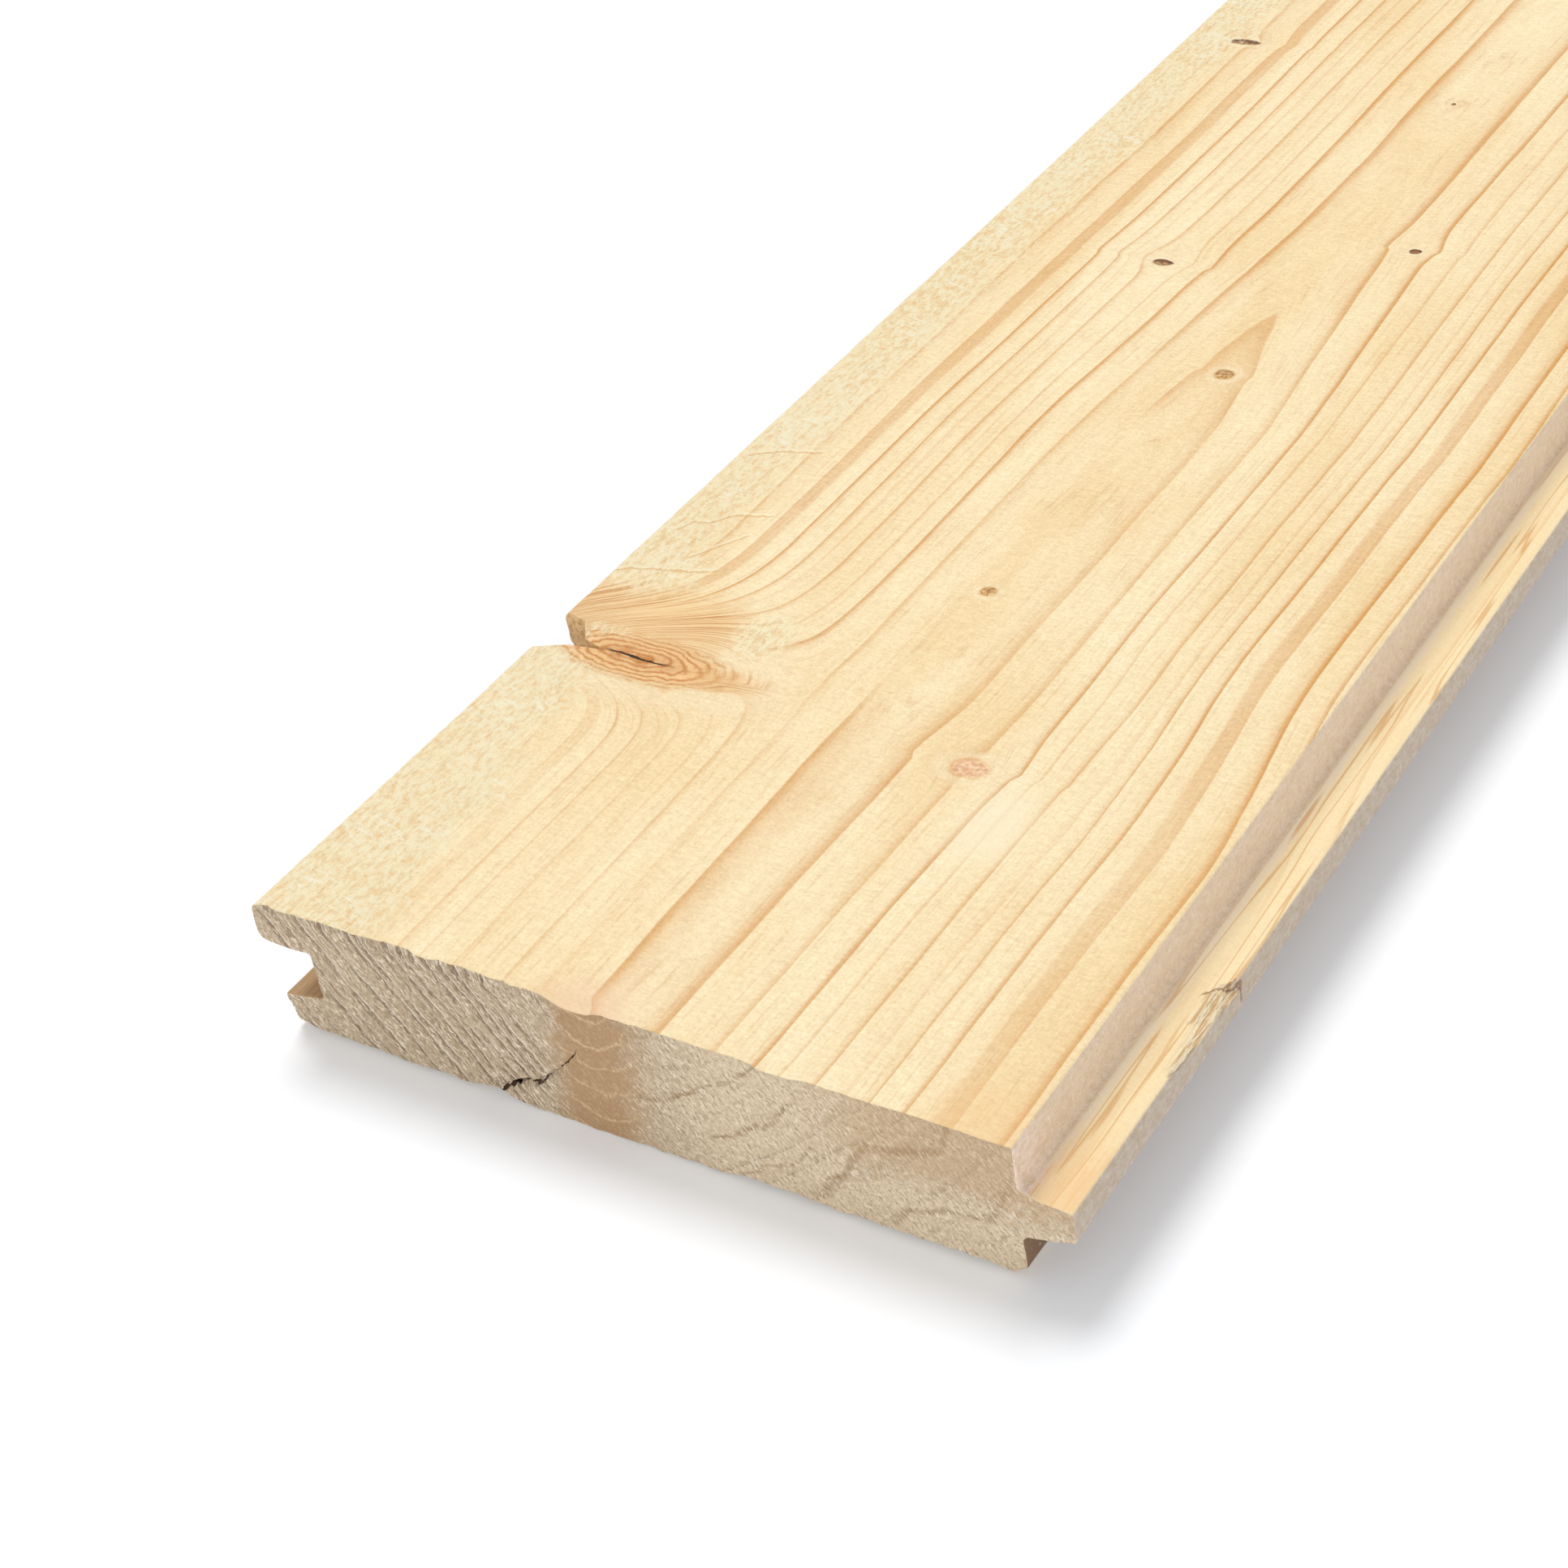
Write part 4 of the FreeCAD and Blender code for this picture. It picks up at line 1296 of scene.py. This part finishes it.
def moulded_material(groups, wood):
    """Edges cut by the moulder: grey and woolly where they stand upright, clean on the tongue's upper side.

    The torn walls of the knot's gap are brown, and the splinter's bed shows long loose fibres.
    """
    material, nodes = new_material("moulded spruce")
    tint, place, _, _, fibres = side_grain(nodes, groups, wood, (0.7, 0.45))
    x, y, z = nodes.split(place)
    facing = nodes.split(nodes.add("ShaderNodeNewGeometry").outputs["Normal"])
    upright = nodes.step(nodes.absolute(facing[2]), 0.93, 0.62)
    fillet = nodes.times(nodes.step(x, 55.0, 54.2), nodes.step(x, 52.0, 53.0), nodes.step(z, 12.6, 13.2))
    upright = nodes.larger(upright, fillet)
    woolly = nodes.mix(nodes.step(fibres["Nap"], 0.30, 0.70), colour(226, 203, 180), colour(240, 219, 198))
    tint = nodes.mix(nodes.times(upright, 0.8), tint, woolly)
    # The tongue's tip: a worn grey, partly its own dull wood and partly painted shade, darker than the other
    # upright faces
    tip = nodes.times(nodes.step(x, 59.6, 60.3), upright)
    worn_and_shaded_grey = nodes.mix(nodes.step(fibres["Nap"], 0.3, 0.7), colour(194, 176, 155), colour(208, 196, 182))
    tint = nodes.mix(nodes.times(tip, 0.88), tint, worn_and_shaded_grey)
    level = nodes.times(
        nodes.minus(1.0, upright), nodes.step(x, 53.4, 54.6), nodes.step(z, 12.0, 12.6)
    )
    # Paler wood on the tongue's upper side: partly its clean cut, partly painted light that lifts it out of
    # the shoulder's shade
    tint = nodes.mix(nodes.times(level, 0.55), tint, colour(255, 234, 190))
    course = nodes.join(nodes.times(x, 0.33), nodes.times(y, 0.012), 0.0)
    course = nodes.times(nodes.noise(course, 1.0, 2.0, 0.5), 5.0)
    lines = nodes.absolute(nodes.minus(nodes.math("FRACT", course), 0.5))
    lines = nodes.times(nodes.step(lines, 0.13, 0.02), level, 0.55)
    # Painted light: the tongue's top is paled close to the shoulder wall, against the shade that the wall
    # casts there
    tongue_root_painted_light = nodes.times(nodes.step(x, 56.4, 54.4), level, 0.9)
    tint = nodes.mix(tongue_root_painted_light, tint, colour(255, 240, 218))
    tint = nodes.mix(lines, tint, tuple(wood.late_wood))
    start = nodes.plus(y, nodes.scale(fibres["Nap"], 0.0, 1.0, -6.0, 6.0))
    streaked = nodes.step(fibres["Streaks"], 0.3, 0.7, 0.35, 0.8)
    flushed = nodes.times(nodes.step(start, 17.0, 4.0), level, streaked)
    tint = nodes.mix(flushed, tint, colour(246, 202, 146))
    tint, torn, strands = splinter_bed(nodes, tint, place, fibres["Nap"])
    tint = shade_hollows(nodes, tint, place, strands)
    light = nodes.times(fibres["Specks"], upright, 0.4)
    tint = nodes.mix(light, tint, colour(250, 240, 222))
    fuzz = nodes.times(
        nodes.step(y, 9.0, 1.0), nodes.step(x, 52.0, 53.0), nodes.step(x, 56.0, 54.4),
        nodes.step(z, 12.0, 13.5), nodes.step(fibres["Nap"], 0.42, 0.56), 0.8,
    )
    tint = nodes.mix(fuzz, tint, colour(250, 226, 210))
    gap_wall = nodes.times(
        nodes.step(nodes.absolute(facing[1]), 0.35, 0.6), nodes.step(y, 2.0, 4.0),
        nodes.step(x, -40.0, -46.0),
    )
    wall = nodes.mix(nodes.step(fibres["Nap"], 0.30, 0.55), colour(186, 142, 88), colour(240, 204, 150))
    tint = nodes.mix(gap_wall, tint, wall)
    loose = nodes.scale(nodes.larger(upright, torn), 0.0, 1.0, 0.05, 0.3)
    nap = nodes.times(fibres["Nap"], loose)
    height = nodes.plus(nap, nodes.times(fibres["Streaks"], 0.06))
    height = nodes.plus(height, nodes.times(strands, torn, 0.6))
    wood_shader(nodes, tint, height, 1.0, 0.72)
    return material


def sawn_back_material(groups, wood):
    """Sawn back: dull grain under saw marks across the board and a woolly nap."""
    material, nodes = new_material("sawn spruce back")
    tint, place, _, _, fibres = side_grain(nodes, groups, wood, (0.6, 0.45))
    tint = nodes.mix(0.22, tint, tuple(wood.end_wood))
    marks = nodes.noise(nodes.vector("MULTIPLY", place, (0.05, 0.9, 0.0)), 1.0, 2.0, 0.6)
    grey = nodes.scale(marks, 0.3, 0.7, 0.9, 1.03)
    tint = nodes.mix(1.0, tint, nodes.join(grey, grey, grey), "MULTIPLY")
    tint = nodes.mix(nodes.times(fibres["Specks"], 0.5), tint, colour(250, 236, 206))
    height = nodes.plus(nodes.times(fibres["Nap"], 0.45), nodes.times(marks, 0.3))
    wood_shader(nodes, tint, height, 1.0, 0.85)
    return material


def saw_marks(nodes, x, z):
    """Long scores down the sawn end: each a thin dark line with a light one beside it.

    The scores are numbered across their slope. Each number has its own chance, which shifts or drops it.
    """
    spacing = SCORE_SPACING
    slope = math.radians(SCORE_SLOPE)
    cosine, sine = math.cos(slope), math.sin(slope)
    along = nodes.minus(nodes.times(x, cosine), nodes.times(z, sine))
    across = nodes.plus(nodes.times(x, sine), nodes.times(z, cosine))
    sway = nodes.join(nodes.times(along, 0.06), nodes.times(across, 0.2), 0.0)
    sway = nodes.sway(1.1, sway, 1.0, 2.0)
    phase = nodes.divide(nodes.plus(across, sway), spacing)
    number = nodes.math("FLOOR", phase)
    chance = nodes.add("ShaderNodeTexWhiteNoise", {"W": number}, noise_dimensions="1D").outputs["Value"]
    offset = nodes.times(nodes.minus(nodes.math("FRACT", phase), 0.5), spacing)
    offset = nodes.plus(offset, nodes.scale(chance, 0.0, 1.0, -0.35, 0.35))
    run = nodes.join(nodes.times(along, 0.14), nodes.times(number, 3.7), 0.0)
    shown = nodes.times(nodes.step(nodes.noise(run, 1.0, 2.0), 0.32, 0.5), nodes.step(chance, 0.0, 0.3))
    fray = nodes.scale(nodes.noise(nodes.join(x, z, 0.0), 0.8, 2.0), 0.0, 1.0, -0.3, 0.3)
    offset = nodes.plus(offset, fray)
    dark = nodes.times(nodes.step(nodes.absolute(offset), 0.48, 0.10), shown)
    beside = nodes.absolute(nodes.minus(offset, 0.62))
    light = nodes.times(nodes.step(beside, 0.38, 0.10), shown)
    return dark, light, along, across


def band_along(nodes, x, z, points, width):
    """1 along a line through points (x, z), 0 farther from it than this half width.

    The line is a curve in axes turned by 45 degrees, so that it keeps much of its width on any slope that
    rises to the right.
    """
    turned = [((a + b) / 2 ** 0.5, (b - a) / 2 ** 0.5) for a, b in points]
    along = nodes.times(nodes.plus(x, z), 0.5 ** 0.5)
    up = nodes.times(nodes.minus(z, x), 0.5 ** 0.5)
    first, last = turned[0], turned[-1]
    course = [(0.0, first[1])] + turned + [(LINE_SPAN, last[1])]
    line = nodes.curve(along, LINE_SPAN, course, -LINE_SIDE, LINE_SIDE)
    inside = nodes.times(
        nodes.step(along, first[0] - LINE_FADE, first[0]), nodes.step(along, last[0] + LINE_FADE, last[0])
    )
    near = nodes.step(nodes.absolute(nodes.minus(up, line)), width, width * 0.3)
    return nodes.times(near, inside)


def bruise_masks(nodes, x, z, flat):
    """Dark patches on the sawn end, one in its middle and one in its corner by the tongue."""
    edge = nodes.sway(5.5, flat, 2.2, 4.0, 0.7)
    bowed = nodes.plus(x, edge, nodes.times(nodes.minus(10.0, z), 0.12))
    middle = nodes.times(nodes.step(bowed, -15.0, -10.0), nodes.step(bowed, 4.5, -4.0), 0.97)
    corner = nodes.times(nodes.step(bowed, 20.0, 36.0), nodes.step(nodes.plus(z, edge), 8.0, 13.0))
    corner = nodes.times(corner, 0.62)
    bruise = nodes.larger(middle, corner)
    return middle, corner, bruise


def pale_arcs(nodes, x, z, flat, clouds):
    """Pale arcs 4 mm apart round a centre above the board, squeezed sideways."""
    over = nodes.minus(33.0, nodes.plus(z, nodes.scale(clouds, 0.0, 1.0, -1.5, 1.5)))
    arcs = nodes.vector("LENGTH", nodes.join(nodes.times(nodes.plus(x, 6.0), 1.9), over, 0.0))
    arcs = nodes.plus(arcs, nodes.sway(2.2, flat, 3.0, 3.0, 0.6))
    arcs = nodes.times(arcs, 0.25)
    arcs = nodes.absolute(nodes.minus(nodes.math("FRACT", arcs), 0.5))
    return nodes.step(arcs, 0.10, 0.02)


def crack_mask(nodes, x, y, z, flat):
    """The crack, as wide as its table says and broken by noise, at the front end only."""
    from_left = nodes.plus(x, CRACK_LEFT)
    crack_path = [(0.0, 0.0)] + [(a + CRACK_LEFT, b) for a, b in CRACK] + [(CRACK_SPAN, CRACK_TOP)]
    centre = nodes.curve(from_left, CRACK_SPAN, crack_path, 0.0, CRACK_TOP)
    wander = nodes.sway(0.9, flat, 1.3, 2.0)
    gap = nodes.absolute(nodes.plus(nodes.minus(z, centre), wander))
    wide = nodes.curve(from_left, CRACK_SPAN, CRACK_WIDTH, 0.0, 0.6)
    split = nodes.minus(1.0, nodes.divide(gap, nodes.larger(wide, 0.01)))
    open_part = nodes.step(nodes.noise(flat, 0.8, 2.0), 0.36, 0.5, 0.55, 1.0)
    at_front = nodes.step(y, 20.0, 10.0)
    return nodes.times(nodes.step(split, 0.0, 0.35), open_part, at_front)


def sawn_end_material(groups, wood):
    """Sawn end: rings across the grain, slanting saw marks, bruised dark patches and pale torn fibres.

    The bruise in the middle has pale arcs. The crack is at the front end only.
    """
    material, nodes = new_material("sawn spruce end")
    place = nodes.group(groups["place"], {})["Place"]
    x, y, z = nodes.split(place)
    flat = nodes.join(x, z, 0.0)
    shift = nodes.sway(3.0, flat, 7.0, 3.0, 0.6)
    warped = nodes.vector("ADD", place, nodes.join(shift, 0.0, shift))
    rings = nodes.group(groups["rings"], {"Place": warped, "Bend": 0.0})
    dark_marks, light_marks, along, across = saw_marks(nodes, x, z)
    fine = nodes.join(nodes.times(along, 0.9), nodes.times(across, 2.6), 0.0)
    hairs = nodes.noise(fine, 1.0, 3.0, 0.7)
    grit = nodes.noise(flat, 0.45, 3.0, 0.75)
    clouds = nodes.noise(flat, 6.0, 3.0, 0.6)
    tint = nodes.mix(nodes.step(clouds, 0.35, 0.65), tuple(wood.end_wood), colour(212, 190, 160))
    tint = nodes.mix(nodes.step(x, 2.0, 14.0, 0.0, 0.75), tint, colour(246, 224, 190))
    middle, corner, bruise = bruise_masks(nodes, x, z, flat)
    tint = nodes.mix(nodes.times(bruise, 0.88), tint, colour(176, 138, 98))
    arcs = pale_arcs(nodes, x, z, flat, clouds)
    smiles = nodes.times(arcs, middle, nodes.step(hairs, 0.36, 0.5), 0.62)
    tint = nodes.mix(smiles, tint, colour(226, 196, 154))
    band = nodes.math("MULTIPLY", rings["Band"], 0.5, clamp=True)
    tint = nodes.mix(band, tint, tuple(wood.end_late_wood))
    gate = nodes.step(nodes.noise(flat, 5.0, 2.0), 0.46, 0.60)
    shown = nodes.larger(nodes.step(x, 20.0, 30.0, 0.45, 0.2), corner)
    line = nodes.times(rings["Late"], nodes.step(middle, 0.5, 0.1), shown)
    line = nodes.math("MULTIPLY", line, nodes.larger(gate, corner), clamp=True)
    line_colour = nodes.mix(corner, colour(138, 108, 78), colour(206, 174, 136))
    tint = nodes.mix(line, tint, line_colour)
    sway = nodes.sway(1.1, flat, 1.6, 3.0, 0.6)
    shifted = nodes.plus(z, sway)
    for width, points in END_RINGS:
        ring = band_along(nodes, x, shifted, points, width)
        ring = nodes.times(ring, nodes.step(grit, 0.35, 0.55, 0.3, 1.0), 0.62)
        tint = nodes.mix(ring, tint, colour(170, 136, 96))
    rough = nodes.scale(bruise, 0.0, 1.0, 1.0, 0.1)
    left = nodes.step(x, -8.0, -19.0, 0.12, 1.0)
    streak = nodes.times(rough, left)
    tint = nodes.mix(nodes.times(streak, 0.24), tint, colour(176, 150, 120))
    tint = nodes.mix(nodes.times(dark_marks, streak, 0.6), tint, colour(132, 106, 80))
    tint = nodes.mix(nodes.times(light_marks, streak, 0.85), tint, colour(250, 228, 202))
    torn = nodes.noise(nodes.vector("ADD", flat, nodes.join(0.0, 0.0, 5.0)), 2.4, 3.0, 0.6)
    tufted = nodes.step(torn, 0.40, 0.58, 0.4, 1.0)
    specks = nodes.times(nodes.step(hairs, 0.50, 0.58), rough, tufted, 0.95)
    tint = nodes.mix(specks, tint, colour(255, 238, 212))
    pits = nodes.times(nodes.step(hairs, 0.45, 0.37), rough, tufted, 0.5)
    tint = nodes.mix(pits, tint, colour(140, 110, 82))
    grain = nodes.scale(grit, 0.25, 0.75, 0.72, 1.26)
    soft = nodes.scale(rough, 0.0, 1.0, 0.45, 1.0)
    tint = nodes.mix(soft, tint, nodes.mix(1.0, tint, nodes.join(grain, grain, grain), "MULTIPLY"))
    crack = crack_mask(nodes, x, y, z, flat)
    tint = nodes.mix(crack, tint, colour(74, 50, 32))
    height = nodes.minus(nodes.times(light_marks, left, 0.35), nodes.times(dark_marks, left, 0.16))
    height = nodes.plus(height, nodes.times(hairs, 0.5))
    height = nodes.plus(height, nodes.times(grit, 0.16))
    wood_shader(nodes, tint, nodes.times(height, rough), 1.0, 0.85)
    return material


class OBJECT_OT_spruce_board(bpy.types.Operator):
    """Makes the board from its section and gives it its wood"""

    bl_idname = "object.spruce_board"
    bl_label = "Make the board"

    def execute(self, context):
        scene = context.scene
        points, quads, finishes, splinter = board_mesh(scene.board_shape, scene.board_wood.seed)
        mesh = bpy.data.meshes.new("spruce_board")
        in_metres = points * MM + np.array([0, FRONT_Y * MM, 0])
        mesh.from_pydata(in_metres, [], quads)
        if mesh.validate():
            raise RuntimeError("the board's mesh has faults")
        mesh.polygons.foreach_set("material_index", finishes.astype(np.int32))
        mesh.polygons.foreach_set("use_smooth", np.ones(len(quads), bool))
        attribute = mesh.attributes.new("splinter", "FLOAT", "POINT")
        attribute.data.foreach_set("value", splinter.astype(np.float32))
        place_branches(mesh, points[quads].mean(axis=1))
        groups = grain_groups()
        for make in (planed_material, moulded_material, sawn_back_material, sawn_end_material):
            mesh.materials.append(make(groups, scene.board_wood))
        mesh.set_sharp_from_angle(angle=math.radians(SHARP_ANGLE))
        board = bpy.data.objects.new("spruce_board", mesh)
        scene.collection.objects.link(board)
        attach(board, "root")
        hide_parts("board")
        return {"FINISHED"}


class SCENE_OT_board_studio(bpy.types.Operator):
    """Makes the floor, the lights and the camera"""

    bl_idname = "scene.board_studio"
    bl_label = "Make the studio"

    def execute(self, context):
        scene = context.scene
        studio = scene.board_studio
        self.make_floor(scene, studio)
        self.make_lights(scene, studio)
        self.make_camera(scene, studio)
        scene.view_settings.view_transform = "Standard"
        return {"FINISHED"}

    def make_floor(self, scene, studio):
        half = studio.floor_size / 2
        corners = np.array([(-half, -half, 0), (half, -half, 0), (half, half, 0), (-half, half, 0)])
        corners[:, 2] = -FLOOR_DROP
        mesh = bpy.data.meshes.new("floor")
        mesh.from_pydata(corners, [], [(0, 1, 2, 3)])
        material, nodes = new_material("white floor")
        shader = nodes.add("ShaderNodeBsdfDiffuse", {"Color": (0.925, 0.93, 0.945)})
        glow = nodes.add("ShaderNodeEmission", {"Color": (0.92, 1.0, 1.09), "Strength": 0.155})
        seen = nodes.directly_seen()
        dark = nodes.add("ShaderNodeEmission", {"Strength": 0.0})
        lit = nodes.add("ShaderNodeMixShader", {0: seen, 1: dark.outputs[0], 2: glow.outputs[0]})
        both = nodes.add("ShaderNodeAddShader")
        nodes.set(both.inputs[0], shader.outputs[0])
        nodes.set(both.inputs[1], lit.outputs[0])
        output = nodes.add("ShaderNodeOutputMaterial")
        nodes.set(output.inputs["Surface"], both.outputs[0])
        mesh.materials.append(material)
        floor = bpy.data.objects.new("floor", mesh)
        scene.collection.objects.link(floor)

    def make_lights(self, scene, studio):
        for name, travel, strength in (
            ("key", KEY_TRAVEL, studio.key_level / -KEY_TRAVEL[2]), ("fill", FILL_TRAVEL, studio.fill_level),
        ):
            light = bpy.data.lights.new(name, "SUN")
            light.energy = strength * math.pi
            light.angle = studio.key_spread
            lamp = bpy.data.objects.new(name, light)
            lamp.matrix_world = Vector(travel).to_track_quat("-Z", "Y").to_matrix().to_4x4()
            scene.collection.objects.link(lamp)
        world = bpy.data.worlds.new("studio")
        world.use_nodes = True
        world.node_tree.nodes.clear()
        nodes = ShaderNodes(world.node_tree)
        seen = nodes.directly_seen()
        strength = nodes.scale(seen, 0.0, 1.0, studio.sky_level, 1.0)
        sky = nodes.add("ShaderNodeBackground", {"Color": (1.0, 1.0, 1.0), "Strength": strength})
        output = nodes.add("ShaderNodeOutputWorld")
        nodes.set(output.inputs["Surface"], sky.outputs[0])
        scene.world = world

    def make_camera(self, scene, studio):
        camera = bpy.data.cameras.new("camera")
        camera.lens = studio.lens
        camera.sensor_width = 36.0
        camera.clip_start = 0.01
        camera.clip_end = 50.0
        placed = bpy.data.objects.new("camera", camera)
        matrix = Matrix((CAMERA_RIGHT, CAMERA_UP, CAMERA_BACK)).transposed().to_4x4()
        matrix.translation = CAMERA_PLACE
        placed.matrix_world = matrix
        scene.collection.objects.link(placed)
        scene.camera = placed


class VIEW3D_PT_spruce_board(bpy.types.Panel):
    """Lists the board's sizes and colours, and the two operators"""

    bl_idname = "VIEW3D_PT_spruce_board"
    bl_label = "Tongue and groove board"
    bl_space_type = "VIEW_3D"
    bl_region_type = "UI"
    bl_category = "Board"

    def draw(self, context):
        scene = context.scene
        for title, group in (
            ("Shape", scene.board_shape), ("Wood", scene.board_wood), ("Studio", scene.board_studio),
        ):
            box = self.layout.box()
            box.label(text=title)
            for name in group.__annotations__:
                box.prop(group, name)
        self.layout.operator(OBJECT_OT_spruce_board.bl_idname)
        self.layout.operator(SCENE_OT_board_studio.bl_idname)


CLASSES = (
    BoardShape, BoardWood, BoardStudio,
    OBJECT_OT_spruce_board, SCENE_OT_board_studio, VIEW3D_PT_spruce_board,
)


def register():
    for item in CLASSES:
        bpy.utils.register_class(item)
    bpy.types.Scene.board_shape = PointerProperty(type=BoardShape)
    bpy.types.Scene.board_wood = PointerProperty(type=BoardWood)
    bpy.types.Scene.board_studio = PointerProperty(type=BoardStudio)


def unregister():
    del bpy.types.Scene.board_shape
    del bpy.types.Scene.board_wood
    del bpy.types.Scene.board_studio
    for item in reversed(CLASSES):
        bpy.utils.unregister_class(item)


def main():
    register()
    bpy.ops.object.spruce_board()
    bpy.ops.scene.board_studio()


if __name__ == "__main__":
    main()
